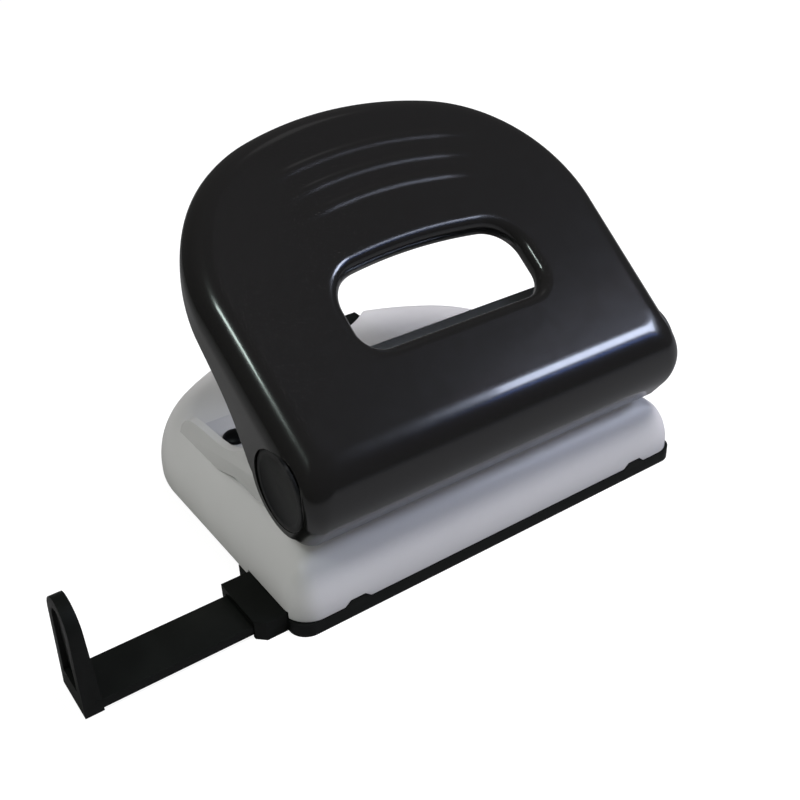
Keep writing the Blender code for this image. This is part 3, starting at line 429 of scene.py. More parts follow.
grey_enamel = enamel("grey_enamel", (0.56, 0.55, 0.56), (0.42, 0.42, 0.42), 0.34, 0.0, 0.25)
outer_rings = base_rings(0.0, BASE_RIM)
base_piece = solid("base_cover", outer_rings[::-1] + base_rings(BASE_SHEET, BASE_RIM))
pin_holes = [(side * PIN_OFFSET, PIN_PLACE, PIN_RADIUS + HOLE_GAP) for side in (-1, 1)]
frame_rivet_holes = [(x, FRAME_RIVET_PLACE, RIVET_RADIUS + HOLE_GAP) for x in FRAME_RIVET_OFFSETS]
die_rivet_holes = [(side * DIE_RIVET_OFFSET, PIN_PLACE, RIVET_RADIUS + HOLE_GAP) for side in (-1, 1)]
for x, y, radius in pin_holes + frame_rivet_holes + die_rivet_holes:
    drill(base_piece, x, y, radius, BASE_TOP - OVERRUN, BASE_TOP + OVERRUN, 48)
cut(base_piece, upright("notch", notch_outline(BASE_DEPTH + OVERRUN), -OVERRUN, BASE_TOP + OVERRUN))
for side in (-1, 1):
    cut(base_piece, snap_lug(side * SNAP_OFFSET, TOUCH_GAP, -OVERRUN, OVERRUN))
gap_low = (-BASE_HALF_WIDTH - OVERRUN, COLLAR_FRONT - TOUCH_GAP, -OVERRUN)
gap_high = (-BASE_HALF_WIDTH + OVERRUN, COLLAR_BACK + TOUCH_GAP, COLLAR_TOP + TOUCH_GAP)
cut(base_piece, block("collar_gap", gap_low, gap_high))
rounded(base_piece)
dress(base_piece, grey_enamel, "base", "base_shell")

# Punch frame: one grey enamelled steel pressing, the paper slot's roof, the stop, the foot and both ears.
# Its ears carry the hinge axle and the guide bar; its long low feet lie on the base's side edges.
SLOT_ROOF = 19.0 * MM
FRAME_SHEET = 1.5 * MM
FRAME_FRONT = 8.0 * MM
FRAME_BACK = 58.0 * MM
STOP_PLACE = 34.6 * MM
EAR_FRONT = 2.2 * MM
EAR_BACK = 63.0 * MM
EAR_TOP_RISE = 6.0 * MM
EAR_OUTER = 48.4 * MM
EAR_INNER = EAR_OUTER - FRAME_SHEET
EAR_SLOPE = 9.0 * MM
FRAME_EDGE_ROUND = 0.3 * MM
HINGE_PLACE = 9.2 * MM
HINGE_HEIGHT = 31.0 * MM
AXLE_RADIUS = 2.5 * MM
GUIDE_BAR_LOW = 34.4 * MM
GUIDE_BAR_SHEET = 1.2 * MM
GUIDE_BAR_TONGUE = 6.0 * MM
# The ear's upper edge from its back tip: share of its length, and share of the height over the foot.
EAR_SHARES = [
    (0.00, 0.00), (0.03, 0.14), (0.09, 0.30), (0.17, 0.36), (0.27, 0.38), (0.38, 0.40),
    (0.46, 0.45), (0.53, 0.56), (0.580, 0.66), (0.593, 0.78), (0.600, 0.93), (0.615, 1.00),
]


def smoothed(points, rounds=2):
    """Round off a run of points by cutting its corners, with both ends kept."""
    for _ in range(rounds):
        finer = [points[0]]
        for (ax, ay), (bx, by) in zip(points, points[1:]):
            finer.append((ax * 0.75 + bx * 0.25, ay * 0.75 + by * 0.25))
            finer.append((ax * 0.25 + bx * 0.75, ay * 0.25 + by * 0.75))
        finer.append(points[-1])
        points = finer
    return points


def base_surface(x):
    """Height of the base's outer face at a distance x from the middle."""
    into_edge = max(0.0, x - (BASE_HALF_WIDTH - BASE_EDGE_INSET)) / BASE_EDGE_INSET
    return BASE_TOP - BASE_EDGE_RISE * (1 - math.sqrt(1 - into_edge**2))


def ear_profile(x):
    foot = base_surface(x) + TOUCH_GAP
    top = HINGE_HEIGHT + EAR_TOP_RISE
    length = EAR_BACK - EAR_FRONT
    edge = [(EAR_BACK - along * length, foot + up * (top - foot)) for along, up in EAR_SHARES]
    points = smoothed(edge)
    points += arc(HINGE_PLACE, HINGE_HEIGHT, EAR_TOP_RISE, math.radians(90), math.radians(200), 24)
    slope_end = STOP_PLACE + EAR_SLOPE
    points += [(FRAME_FRONT, SLOT_ROOF), (STOP_PLACE, SLOT_ROOF), (slope_end, foot)]
    return points


foot_low = BASE_TOP + TOUCH_GAP
bridge_profile = [
    (FRAME_FRONT, SLOT_ROOF),
    (STOP_PLACE, SLOT_ROOF),
    (STOP_PLACE, foot_low),
    (FRAME_BACK, foot_low),
    (FRAME_BACK, foot_low + FRAME_SHEET),
    (STOP_PLACE + FRAME_SHEET, foot_low + FRAME_SHEET),
    (STOP_PLACE + FRAME_SHEET, SLOT_ROOF + FRAME_SHEET),
    (FRAME_FRONT, SLOT_ROOF + FRAME_SHEET),
]
inside_ear = EAR_INNER + FRAME_SHEET / 2
frame_piece = sideways("ear_bridge", bridge_profile, -inside_ear, inside_ear)
for side in (-1, 1):
    ear_rings = [[(side * x, y, z) for y, z in ear_profile(x)] for x in (EAR_INNER, EAR_OUTER)]
    weld(frame_piece, solid("ear", ear_rings))
for x, y, radius in pin_holes + frame_rivet_holes:
    drill(frame_piece, x, y, radius, 0.0, SLOT_ROOF + OVERRUN, 48)
reach = EAR_OUTER + OVERRUN
bore = [(AXLE_RADIUS + HOLE_GAP, -reach), (AXLE_RADIUS + HOLE_GAP, reach)]
cut(frame_piece, turned("bore", bore, (0.0, HINGE_PLACE, HINGE_HEIGHT), "X", 48))
tongue_half = GUIDE_BAR_TONGUE / 2 + HOLE_GAP
slot_low = (-reach, PIN_PLACE - tongue_half, GUIDE_BAR_LOW - HOLE_GAP)
slot_high = (reach, PIN_PLACE + tongue_half, GUIDE_BAR_LOW + GUIDE_BAR_SHEET + HOLE_GAP)
cut(frame_piece, block("slots", slot_low, slot_high))
rounded(frame_piece, FRAME_EDGE_ROUND)
dress(frame_piece, grey_enamel, "base", "punch_frame")

# Rivets: steel, four with domed heads through frame and base, made near-black as painted shade for the dark
# gap behind the ears, two flush bright ones in the die.
# Each set is one row of copies, made by one tree that builds the rivet and sets it out along X.
RIVET_HEAD_RADIUS = 3.0 * MM
RIVET_HEAD_HEIGHT = 1.4 * MM
RIVET_TAIL_RADIUS = 2.4 * MM
RIVET_TAIL_HEIGHT = 0.9 * MM
RIVET_FLUSH_DOME = 0.2 * MM
RIVET_LEAST_STEP = 0.1 * MM
RIVET_HEAD_SPACE = 20.0 * MM
BRUSH_DEPTH = 0.02 * MM
DIE_TOP = BASE_TOP - BASE_SHEET - TOUCH_GAP
DIE_SHEET = 1.5 * MM


def steel(name, colour, roughness, stretch, worn=0.3):
    """Bright steel with the fine lines that its last tool left, and a dull mottling."""
    made = Finish(name, colour, roughness, metallic=1.0)
    lines = made.noise(1500.0, 4.0, 0.65, stretch)
    mottle = made.noise(160.0, 3.0)
    dull = tuple(channel * 0.62 for channel in colour)
    made.set("Base Color", made.blend(mottle.between(0.35, 0.75) * worn, (*colour, 1.0), (*dull, 1.0)))
    made.set("Roughness", lines * 0.22 + mottle * 0.12 + (roughness - 0.14))
    made.set("Normal", made.bump(lines, BRUSH_DEPTH, 0.35))
    return made.material


class Tree:
    """A Geometry Nodes tree with named inputs, built a node at a time."""

    def __init__(self, name, lengths):
        self.tree = bpy.data.node_groups.new(name, "GeometryNodeTree")
        face = self.tree.interface
        face.new_socket("Geometry", in_out="OUTPUT", socket_type="NodeSocketGeometry")
        self.sockets = {}
        for word in lengths:
            entry = face.new_socket(word, in_out="INPUT", socket_type="NodeSocketFloat")
            self.sockets[word] = entry.identifier
        self.source = self.tree.nodes.new("NodeGroupInput")
        self.result = self.tree.nodes.new("NodeGroupOutput")

    def given(self, word):
        return self.source.outputs[word]

    def node(self, kind, settings, sockets, output=0):
        made = self.tree.nodes.new(kind)
        for name, value in settings.items():
            setattr(made, name, value)
        for name, value in sockets.items():
            self.feed(made.inputs[name], value)
        return made.outputs[output]

    def feed(self, socket, value):
        for each in value if isinstance(value, list) else [value]:
            if isinstance(each, bpy.types.NodeSocket):
                self.tree.links.new(each, socket)
            else:
                socket.default_value = each

    def point(self, x=0.0, y=0.0, z=0.0):
        return self.node("ShaderNodeCombineXYZ", {}, {"X": x, "Y": y, "Z": z})

    def maths(self, operation, first, second):
        return self.node("ShaderNodeMath", {"operation": operation}, {0: first, 1: second})

    def end(self, geometry, finish):
        flat = self.node("GeometryNodeRealizeInstances", {}, {"Geometry": geometry})
        painted = self.node("GeometryNodeSetMaterial", {}, {"Geometry": flat, "Material": finish})
        self.tree.links.new(painted, self.result.inputs["Geometry"])

    def grow(self, name, values):
        """A plain mesh made by the tree with these values, with the tree taken off again."""
        made = bpy.data.objects.new(name, bpy.data.meshes.new(name))
        bpy.context.scene.collection.objects.link(made)
        step = made.modifiers.new("grow", "NODES")
        step.node_group = self.tree
        for word, value in values.items():
            step[self.sockets[word]] = value
        return baked(made)


def rivet_row(finish):
    """Shank, tail and domed head joined into one rivet, set out in a row of pairs about the middle."""
    made = Tree("rivet_row", [
        "Low", "High", "Shank", "Tail", "Tail height", "Head", "Head height", "Outer", "Inner", "Place",
    ])

    def drum(radius, low, high):
        depth = made.maths("SUBTRACT", high, low)
        middle = made.maths("MULTIPLY", made.maths("ADD", high, low), 0.5)
        sockets = {"Vertices": 48, "Radius": radius, "Depth": depth}
        column = made.node("GeometryNodeMeshCylinder", {}, sockets, "Mesh")
        sockets = {"Geometry": column, "Translation": made.point(z=middle)}
        return made.node("GeometryNodeTransform", {}, sockets)

    low = made.given("Low")
    high = made.given("High")
    shank = drum(made.given("Shank"), made.maths("SUBTRACT", low, made.given("Tail height")), high)
    tail = drum(made.given("Tail"), made.maths("SUBTRACT", low, made.given("Tail height")), low)
    sockets = {"Segments": 48, "Rings": 24, "Radius": 1.0}
    ball = made.node("GeometryNodeMeshUVSphere", {}, sockets, "Mesh")
    head_radius = made.given("Head")
    head_height = made.given("Head height")
    size = made.point(head_radius, head_radius, head_height)
    sockets = {"Geometry": ball, "Translation": made.point(z=high), "Scale": size}
    ball = made.node("GeometryNodeTransform", {}, sockets)
    above = drum(made.maths("MULTIPLY", head_radius, 2.0), high, made.maths("ADD", high, RIVET_HEAD_SPACE))

    def merged(operation, parts):
        settings = {"operation": operation, "solver": "EXACT"}
        return made.node("GeometryNodeMeshBoolean", settings, {"Mesh": parts}, "Mesh")

    dome = merged("INTERSECT", [ball, above])
    whole = merged("UNION", [shank, tail, dome])
    copies = []
    for sign in (-1.0, 1.0):
        for word in ("Outer", "Inner"):
            x = made.maths("MULTIPLY", made.given(word), sign)
            copies.append(made.node("GeometryNodeMeshLine", {"mode": "OFFSET"}, {
                "Count": 1, "Start Location": made.point(x, made.given("Place")),
            }))
    spots = made.node("GeometryNodeJoinGeometry", {}, {"Geometry": copies})
    sockets = {"Geometry": spots, "Distance": RIVET_LEAST_STEP}
    spots = made.node("GeometryNodeMergeByDistance", {}, sockets)
    sockets = {"Points": spots, "Instance": whole}
    made.end(made.node("GeometryNodeInstanceOnPoints", {}, sockets), finish)
    return made


bright_steel = steel("bright_steel", (0.60, 0.60, 0.59), 0.30, (1.0, 1.0, 0.25))
# Painted shade: the four frame rivets get a near-black steel so they read as the shadow behind the ears.
painted_shade_steel = steel("painted_shade_steel", (0.030, 0.030, 0.032), 0.42, (1.0, 1.0, 0.25), 0.2)
rivets = rivet_row(bright_steel)
frame_rivets = rivets.grow("frame_rivets", {
    "Low": DIE_TOP,
    "High": BASE_TOP + TOUCH_GAP + FRAME_SHEET + TOUCH_GAP,
    "Shank": RIVET_RADIUS,
    "Tail": RIVET_TAIL_RADIUS,
    "Tail height": RIVET_TAIL_HEIGHT,
    "Head": RIVET_HEAD_RADIUS,
    "Head height": RIVET_HEAD_HEIGHT,
    "Outer": FRAME_RIVET_OFFSETS[3],
    "Inner": FRAME_RIVET_OFFSETS[2],
    "Place": FRAME_RIVET_PLACE,
})
dress(frame_rivets, painted_shade_steel, "base", *[f"frame_rivet_{i}" for i in range(1, 5)])
die_rivets = rivets.grow("die_rivets", {
    "Low": DIE_TOP - DIE_SHEET - TOUCH_GAP,
    "High": BASE_TOP - RIVET_FLUSH_DOME,
    "Shank": RIVET_RADIUS,
    "Tail": RIVET_TAIL_RADIUS,
    "Tail height": RIVET_TAIL_HEIGHT,
    "Head": RIVET_RADIUS,
    "Head height": RIVET_FLUSH_DOME,
    "Outer": DIE_RIVET_OFFSET,
    "Inner": DIE_RIVET_OFFSET,
    "Place": PIN_PLACE,
})
dress(die_rivets, bright_steel, "base", "left_die_rivet", "right_die_rivet")

# Die plate: hardened steel, ground flat, riveted under the base; its two holes are the cutting edges.
# Grinding leaves long fine lines across it.
DIE_HALF_LENGTH = 45.0 * MM
DIE_EDGE_ROUND = 0.12 * MM
ground_steel = steel("ground_steel", (0.52, 0.52, 0.53), 0.26, (0.04, 1.0, 1.0))
die_low = (-DIE_HALF_LENGTH, PIN_PLACE - DIE_DEPTH / 2, DIE_TOP - DIE_SHEET)
die_high = (DIE_HALF_LENGTH, PIN_PLACE + DIE_DEPTH / 2, DIE_TOP)
die_piece = block("cutting_plate", die_low, die_high)
for x, y, radius in pin_holes + die_rivet_holes:
    drill(die_piece, x, y, radius, 0.0, BASE_TOP)
rounded(die_piece, DIE_EDGE_ROUND, 2)
dress(die_piece, ground_steel, "base", "die_plate")

# Guide bar: zinc plated strip between the ears, staked by its tongues; it steadies the pins' upper ends.
# Zinc plating is bluish, with soft cloudy patches.
GUIDE_BAR_DEPTH = 10.4 * MM
GUIDE_BAR_EDGE_ROUND = 0.15 * MM
zinc_plate = steel("zinc_plate", (0.56, 0.58, 0.61), 0.34, (0.15, 1.0, 1.0), 0.45)
guide_bar_high = GUIDE_BAR_LOW + GUIDE_BAR_SHEET
bar_half = EAR_INNER - TOUCH_GAP
bar_low = (-bar_half, PIN_PLACE - GUIDE_BAR_DEPTH / 2, GUIDE_BAR_LOW)
bar_high = (bar_half, PIN_PLACE + GUIDE_BAR_DEPTH / 2, guide_bar_high)
bar_piece = block("pin_guide_bar", bar_low, bar_high)
tongue = GUIDE_BAR_TONGUE / 2
tongue_low = (-EAR_OUTER, PIN_PLACE - tongue, GUIDE_BAR_LOW)
weld(bar_piece, block("tongue", tongue_low, (EAR_OUTER, PIN_PLACE + tongue, guide_bar_high)))
for x, y, radius in pin_holes:
    drill(bar_piece, x, y, radius, GUIDE_BAR_LOW - OVERRUN, guide_bar_high + OVERRUN, 48)
rounded(bar_piece, GUIDE_BAR_EDGE_ROUND, 2)
dress(bar_piece, zinc_plate, "base", "upper_guide_bar")

# Punch pins: hardened and ground steel, domed on top, grooved for the clip, and notched at the cutting end.
# Each carries a washer and an open clip; all three move with the pin.
PIN_TIP = 19.4 * MM
PIN_DOME_RADIUS = 8.0 * MM
PIN_DOME_SHARES = np.linspace(1.0, 0.05, 10)
PIN_GROOVE_RADIUS = 2.3 * MM
PIN_NOTCH_DEPTH = 1.0 * MM
CLIP_TOP = GUIDE_BAR_LOW - TOUCH_GAP
CLIP_THICKNESS = 0.8 * MM
CLIP_LOW = CLIP_TOP - CLIP_THICKNESS
CLIP_RADIUS = 4.6 * MM
CLIP_OPENING = 3.4 * MM
CLIP_EDGE_ROUND = 0.1 * MM
WASHER_THICKNESS = 0.5 * MM
WASHER_RADIUS = 4.8 * MM
WASHER_EDGE_ROUND = 0.08 * MM
WASHER_LOW = CLIP_LOW - TOUCH_GAP - WASHER_THICKNESS
PIN_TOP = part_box("left_punch_pin")[1].z
pin_steel = steel("hardened_steel", (0.54, 0.54, 0.55), 0.22, (1.0, 1.0, 0.08))
for side, word in ((-1, "left"), (1, "right")):
    x = side * PIN_OFFSET
    dome_half_angle = math.asin(PIN_RADIUS / PIN_DOME_RADIUS)
    profile = [
        (PIN_RADIUS, PIN_TIP),
        (PIN_RADIUS, CLIP_LOW - TOUCH_GAP),
        (PIN_GROOVE_RADIUS, CLIP_LOW - TOUCH_GAP),
        (PIN_GROOVE_RADIUS, CLIP_TOP + TOUCH_GAP),
        (PIN_RADIUS, CLIP_TOP + TOUCH_GAP),
    ]
    for angle in dome_half_angle * PIN_DOME_SHARES:
        level = PIN_TOP - PIN_DOME_RADIUS * (1 - math.cos(angle))
        profile.append((PIN_DOME_RADIUS * math.sin(angle), level))
    pin = turned("cutting_pin_" + word, profile, (x, PIN_PLACE))
    notch = [
        (PIN_PLACE - PIN_RADIUS, PIN_TIP - OVERRUN),
        (PIN_PLACE - PIN_RADIUS, PIN_TIP),
        (PIN_PLACE, PIN_TIP + PIN_NOTCH_DEPTH),
        (PIN_PLACE + PIN_RADIUS, PIN_TIP),
        (PIN_PLACE + PIN_RADIUS, PIN_TIP - OVERRUN),
    ]
    cut(pin, sideways("notch", notch, x - PIN_RADIUS * 2, x + PIN_RADIUS * 2))
    dress(pin, pin_steel, word + "_pin", word + "_punch_pin")
    clip = turned("open_clip_" + word, [(CLIP_RADIUS, CLIP_LOW), (CLIP_RADIUS, CLIP_TOP)], (x, PIN_PLACE))
    inner = PIN_GROOVE_RADIUS + TOUCH_GAP
    drill(clip, x, PIN_PLACE, inner, CLIP_LOW - OVERRUN, CLIP_TOP + OVERRUN)
    gap_low = (x - CLIP_OPENING / 2, PIN_PLACE - CLIP_RADIUS * 2, CLIP_LOW - OVERRUN)
    cut(clip, block("gap", gap_low, (x + CLIP_OPENING / 2, PIN_PLACE, CLIP_TOP + OVERRUN)))
    rounded(clip, CLIP_EDGE_ROUND, 2)
    dress(clip, zinc_plate, word + "_pin", word + "_pin_clip")
    washer_top = WASHER_LOW + WASHER_THICKNESS
    profile = [(WASHER_RADIUS, WASHER_LOW), (WASHER_RADIUS, washer_top)]
    washer = turned("washer_" + word, profile, (x, PIN_PLACE))
    drill(washer, x, PIN_PLACE, PIN_RADIUS + HOLE_GAP, WASHER_LOW - OVERRUN, washer_top + OVERRUN)
    rounded(washer, WASHER_EDGE_ROUND, 2)
    dress(washer, zinc_plate, word + "_pin", word + "_spring_washer")

# Springs: 0.8 mm drawn wire, coiled round each pin between the frame and the washer.
# Their end turns lie closer than the middle ones, and they shorten as the lever goes down.
SPRING_WIRE = 0.8 * MM
SPRING_TURNS = 4.5
SPRING_ROOM = 0.5 * MM
SPRING_RADIUS = PIN_RADIUS + SPRING_ROOM + SPRING_WIRE / 2
SPRING_LOW = SLOT_ROOF + FRAME_SHEET + TOUCH_GAP
SPRING_HIGH = WASHER_LOW - TOUCH_GAP
SPRING_END_CLOSING = 0.5


def coil(finish):
    """One wire wound up a drum, with its end turns laid closer together."""
    made = Tree("coil", ["Wire", "Radius", "Turns", "Height", "Low", "Across", "Place"])
    height = made.given("Height")
    line = made.node("GeometryNodeCurveSpiral", {}, {
        "Resolution": 48,
        "Rotations": made.given("Turns"),
        "Start Radius": made.given("Radius"),
        "End Radius": made.given("Radius"),
        "Height": height,
        "Reverse": True,
    })
    along = made.node("GeometryNodeSplineParameter", {}, {}, "Factor")
    settings = {"interpolation_type": "SMOOTHSTEP"}
    eased = made.node("ShaderNodeMapRange", settings, {"Value": along}, "Result")
    closer = made.maths("MULTIPLY", made.maths("SUBTRACT", eased, along), SPRING_END_CLOSING)
    shift = made.point(z=made.maths("MULTIPLY", closer, height))
    line = made.node("GeometryNodeSetPosition", {}, {"Geometry": line, "Offset": shift})
    sockets = {"Resolution": 20, "Radius": made.given("Wire")}
    across = made.node("GeometryNodeCurvePrimitiveCircle", {}, sockets)
    sockets = {"Curve": line, "Profile Curve": across, "Fill Caps": True}
    tube = made.node("GeometryNodeCurveToMesh", {}, sockets)
    place = made.point(made.given("Across"), made.given("Place"), made.given("Low"))
    made.end(made.node("GeometryNodeTransform", {}, {"Geometry": tube, "Translation": place}), finish)
    return made


spring_steel = steel("spring_steel", (0.40, 0.40, 0.41), 0.30, (1.0, 1.0, 1.0))
coils = coil(spring_steel)
for side, word in ((-1, "left"), (1, "right")):
    spring = coils.grow("return_spring_" + word, {
        "Wire": SPRING_WIRE / 2,
        "Radius": SPRING_RADIUS,
        "Turns": SPRING_TURNS,
        "Height": SPRING_HIGH - SPRING_LOW - SPRING_WIRE,
        "Low": SPRING_LOW + SPRING_WIRE / 2,
        "Across": side * PIN_OFFSET,
        "Place": PIN_PLACE,
    })
    dress(spring, spring_steel, "base", word + "_pin_spring", crease=60)
    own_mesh(spring)

# Lever: black enamel on 1.2 mm pressed steel. One skin runs from the rolled hand opening over the plate,
# round the nose and down the skirts to the hinge lobes; three grip ribs are pressed up near its back edge.
LEVER_SHEET = 1.2 * MM
LEVER_HALF_WIDTH = 50.8 * MM
LEVER_BULGE = 0.9 * MM
LEVER_TAPER = 1.3 * MM
LEVER_NOSE = 12.0 * MM
LEVER_LENGTH = 76.1 * MM
LEVER_SIDE_END = 35.6 * MM
LEVER_CORNER_RADIUS = 38.6 * MM
LEVER_EDGE_RADIUS = 6.5 * MM
LEVER_NOSE_CORNER = 4.5 * MM
LEVER_LEAST_RADIUS = 2.0 * MM
LEVER_RIM_DROP = 5.6 * MM
LEVER_SKIRT_DROP = 11.8 * MM
LEVER_NOSE_LIP = 5.2 * MM
LOBE_RADIUS = 10.5 * MM
SKIRT_SPARE = 1.0 * MM

# The skirt's lower edge from its back tip: share of the lever's length, and share of its drop.
SKIRT_SHARES = [
    (1.10, 0.00), (0.76, 0.00), (0.69, 0.04), (0.63, 0.15), (0.56, 0.29), (0.48, 0.41), (0.39, 0.50),
    (0.31, 0.59), (0.25, 0.71), (0.20, 0.85), (0.16, 0.98), (0.13, 1.09), (0.10, 1.18),
]
OPENING_HALF_WIDTH = 23.9 * MM
OPENING_FRONT = 16.3 * MM
OPENING_BACK = 36.3 * MM
OPENING_FRONT_RADIUS = 5.5 * MM
OPENING_CORNER_RADIUS = 8.4 * MM
OPENING_SIDE_END = 26.8 * MM
OPENING_ROLL = 3.0 * MM
OPENING_FLANGE = 4.0 * MM
LIP_START = 0.3
RIB_CROWN = 100.0 * MM
RIB_FIRST = 51.0 * MM
RIB_PITCH = 5.7 * MM
RIB_HEIGHT = 0.25 * MM
RIB_WIDTH = 3.4 * MM
RIB_HALF_LENGTH = 25.0 * MM
RIB_GROWTH = 3.0 * MM
RIB_FADE = 0.45
RIB_COUNT = 3
LEVER_COUNTS = (14, 18, 40, 44, 28)
PLATE_RINGS = 130
SKIRT_RINGS = 34
LEVER_TILT = math.radians(37.1)
hinge_joint = next(joint for joint in frame["joints"] if joint["name"] == "lever_hinge")
lever_to_frame = Matrix.Translation(hinge_joint["pos_m"]) @ Matrix.Rotation(LEVER_TILT, 4, "X")


def lever_outline(level, inset, sheet):
    """Outline of the lever's outer or inner face at a level over the hinge, in (x, v)."""
    nose = LEVER_NOSE - sheet
    front = -math.sqrt(nose**2 - min(nose, max(0.0, level)) ** 2)
    return np.array(d_outline(
        LEVER_HALF_WIDTH + LEVER_BULGE - inset,
        front,
        LEVER_LENGTH - inset,
        max(LEVER_NOSE_CORNER - sheet, LEVER_LEAST_RADIUS),
        LEVER_CORNER_RADIUS - inset,
        LEVER_SIDE_END,
        LEVER_COUNTS,
        LEVER_TAPER,
    ))


def skirt_bottom(place):
    """Level of the skirt's lower edge at a place v up the lever."""
    lobe_front = -math.sqrt(LOBE_RADIUS**2 - LEVER_NOSE_LIP**2)
    rim = LEVER_NOSE - LEVER_RIM_DROP
    edge = [(share * LEVER_LENGTH, rim - drop * LEVER_SKIRT_DROP) for share, drop in SKIRT_SHARES]
    edge = smoothed(edge, 3)
    lobe_back = edge[-1][0]
    if place < lobe_front:
        return -LEVER_NOSE_LIP
    if place < lobe_back:
        return -math.sqrt(LOBE_RADIUS**2 - place**2)
    places, levels = zip(*reversed(edge))
    return float(np.interp(place, places, levels))


def skirt_grid(sheet, count):
    """Rows of points from the plate's edge round and down to the skirt's lower edge."""
    top = LEVER_NOSE - sheet
    edge = LEVER_EDGE_RADIUS - sheet
    layers = []
    for bend in np.linspace(math.pi / 2, 0.0, 33):
        level = top - edge + edge * math.sin(bend)
        xy = lever_outline(level, sheet + edge * (1 - math.cos(bend)), sheet)
        layers.append(np.column_stack([xy, np.full(len(xy), level)]))
    for level in np.linspace(top - edge, -LOBE_RADIUS - SKIRT_SPARE, 60)[1:]:
        xy = lever_outline(level, sheet, sheet)
        layers.append(np.column_stack([xy, np.full(len(xy), level)]))
    layers = np.array(layers)
    grid = np.zeros((count + 1, layers.shape[1], 3))
    for j in range(layers.shape[1]):
        line = layers[:, j]
        bottom = skirt_bottom(line[-1, 1])
        steps = np.linalg.norm(np.diff(line, axis=0), axis=1)
        lengths = np.concatenate([[0.0], np.cumsum(steps)])
        end = np.interp(-bottom, -line[:, 2], lengths)
        marks = end * np.linspace(0.0, 1.0, count + 1)
        for axis in range(3):
            grid[:, j, axis] = np.interp(marks, lengths, line[:, axis])
    return grid


def opening_outline(grow, level):
    xy = np.array(d_outline(
        OPENING_HALF_WIDTH + grow,
        OPENING_FRONT - grow,
        OPENING_BACK + grow,
        OPENING_FRONT_RADIUS + grow,
        OPENING_CORNER_RADIUS + grow,
        OPENING_SIDE_END,
        LEVER_COUNTS,
    ))
    return np.column_stack([xy, np.full(len(xy), level)])


def rib_rise(x, v):
    """Height of the three bowed grip ribs over the plate."""
    rise = np.zeros_like(x)
    for index in range(RIB_COUNT):
        crest = RIB_FIRST + index * RIB_PITCH
        half = RIB_HALF_LENGTH + index * RIB_GROWTH
        radius = np.hypot(x, v - (crest - RIB_CROWN))
        along = np.abs(x) / half
        across_rib = np.clip(np.abs(radius - RIB_CROWN) / (RIB_WIDTH / 2), 0.0, 1.0)
        ridge = np.cos(across_rib * math.pi / 2) ** 2
        ends = np.clip((1.0 - along) / RIB_FADE, 0.0, 1.0)
        rise = np.maximum(rise, RIB_HEIGHT * ridge * ends * ends * (3 - 2 * ends))
    return rise


def lip(first, second, width):
    """Rings that round a sheet's raw edge from its first face over to its second."""
    span = second - first
    depth = np.linalg.norm(span, axis=1, keepdims=True)
    across_edge = span / depth
    near = [first + across_edge * width * share for share in (LIP_START, 1.0)]
    return near + [second - across_edge * width * share for share in (1.0, LIP_START)]


plate_edge = skirt_grid(0.0, SKIRT_RINGS)
rolls = []
for bend in np.linspace(0.0, math.pi / 2, 15):
    grow = OPENING_ROLL * (1 - math.cos(bend))
    rolls.append(opening_outline(grow, LEVER_NOSE - OPENING_ROLL * (1 - math.sin(bend))))
flange_foot = LEVER_NOSE - OPENING_FLANGE
under_plate = LEVER_NOSE - LEVER_SHEET
flange_top = LEVER_NOSE - OPENING_ROLL
flange_levels = np.linspace(flange_foot + EDGE_ROUND, flange_top, 5)
inner_levels = np.linspace(under_plate, flange_foot + EDGE_ROUND, 6)
rings = [opening_outline(LEVER_SHEET, level) for level in inner_levels]
rings += [
    opening_outline(LEVER_SHEET - EDGE_ROUND * LIP_START, flange_foot + EDGE_ROUND * LIP_START),
    opening_outline(LEVER_SHEET - EDGE_ROUND, flange_foot),
    opening_outline(EDGE_ROUND, flange_foot),
    opening_outline(EDGE_ROUND * LIP_START, flange_foot + EDGE_ROUND * LIP_START),
]
rings += [opening_outline(0.0, level) for level in flange_levels] + rolls[1:]
mouth = rolls[-1]
for i in range(1, PLATE_RINGS + 1):
    share = i / PLATE_RINGS
    ring = mouth * (1 - share) + plate_edge[0] * share
    ring[:, 2] = LEVER_NOSE + rib_rise(ring[:, 0], ring[:, 1])
    rings.append(ring)
rings += list(plate_edge[1:])
inner_skirt = skirt_grid(LEVER_SHEET, 22)
outer_foot = rings[-1].copy()
inner_foot = inner_skirt[-1].copy()
rings[-1][:, 2] += EDGE_ROUND
rings += lip(outer_foot, inner_foot, EDGE_ROUND)
inner_skirt[-1][:, 2] += EDGE_ROUND
rings += list(reversed(inner_skirt))
inner_edge = inner_skirt[0]
inner_mouth = opening_outline(LEVER_SHEET, under_plate)
for share in np.linspace(0.0, 1.0, 25)[1:-1]:
    rings.append(inner_edge * (1 - share) + inner_mouth * share)


def closed_skin(name, rings):
    """A closed tube of quads through rings, its last ring joined back to its first."""
    rows = np.array(rings)
    count_rings, count_points, _ = rows.shape
    i, j = np.meshgrid(np.arange(count_rings), np.arange(count_points), indexing="ij")
    after_i = (i + 1) % count_rings
    after_j = (j + 1) % count_points
    quads = np.stack([
        i * count_points + j,
        i * count_points + after_j,
        after_i * count_points + after_j,
        after_i * count_points + j,
    ], axis=-1).reshape(-1, 4)
    mesh = bpy.data.meshes.new(name)
    mesh.from_pydata(rows.reshape(-1, 3).tolist(), [], quads.tolist())
    bm = bmesh.new()
    bm.from_mesh(mesh)
    bmesh.ops.recalc_face_normals(bm, faces=bm.faces)
    bm.to_mesh(mesh)
    bm.free()
    made = bpy.data.objects.new(name, mesh)
    bpy.context.scene.collection.objects.link(made)
    return made


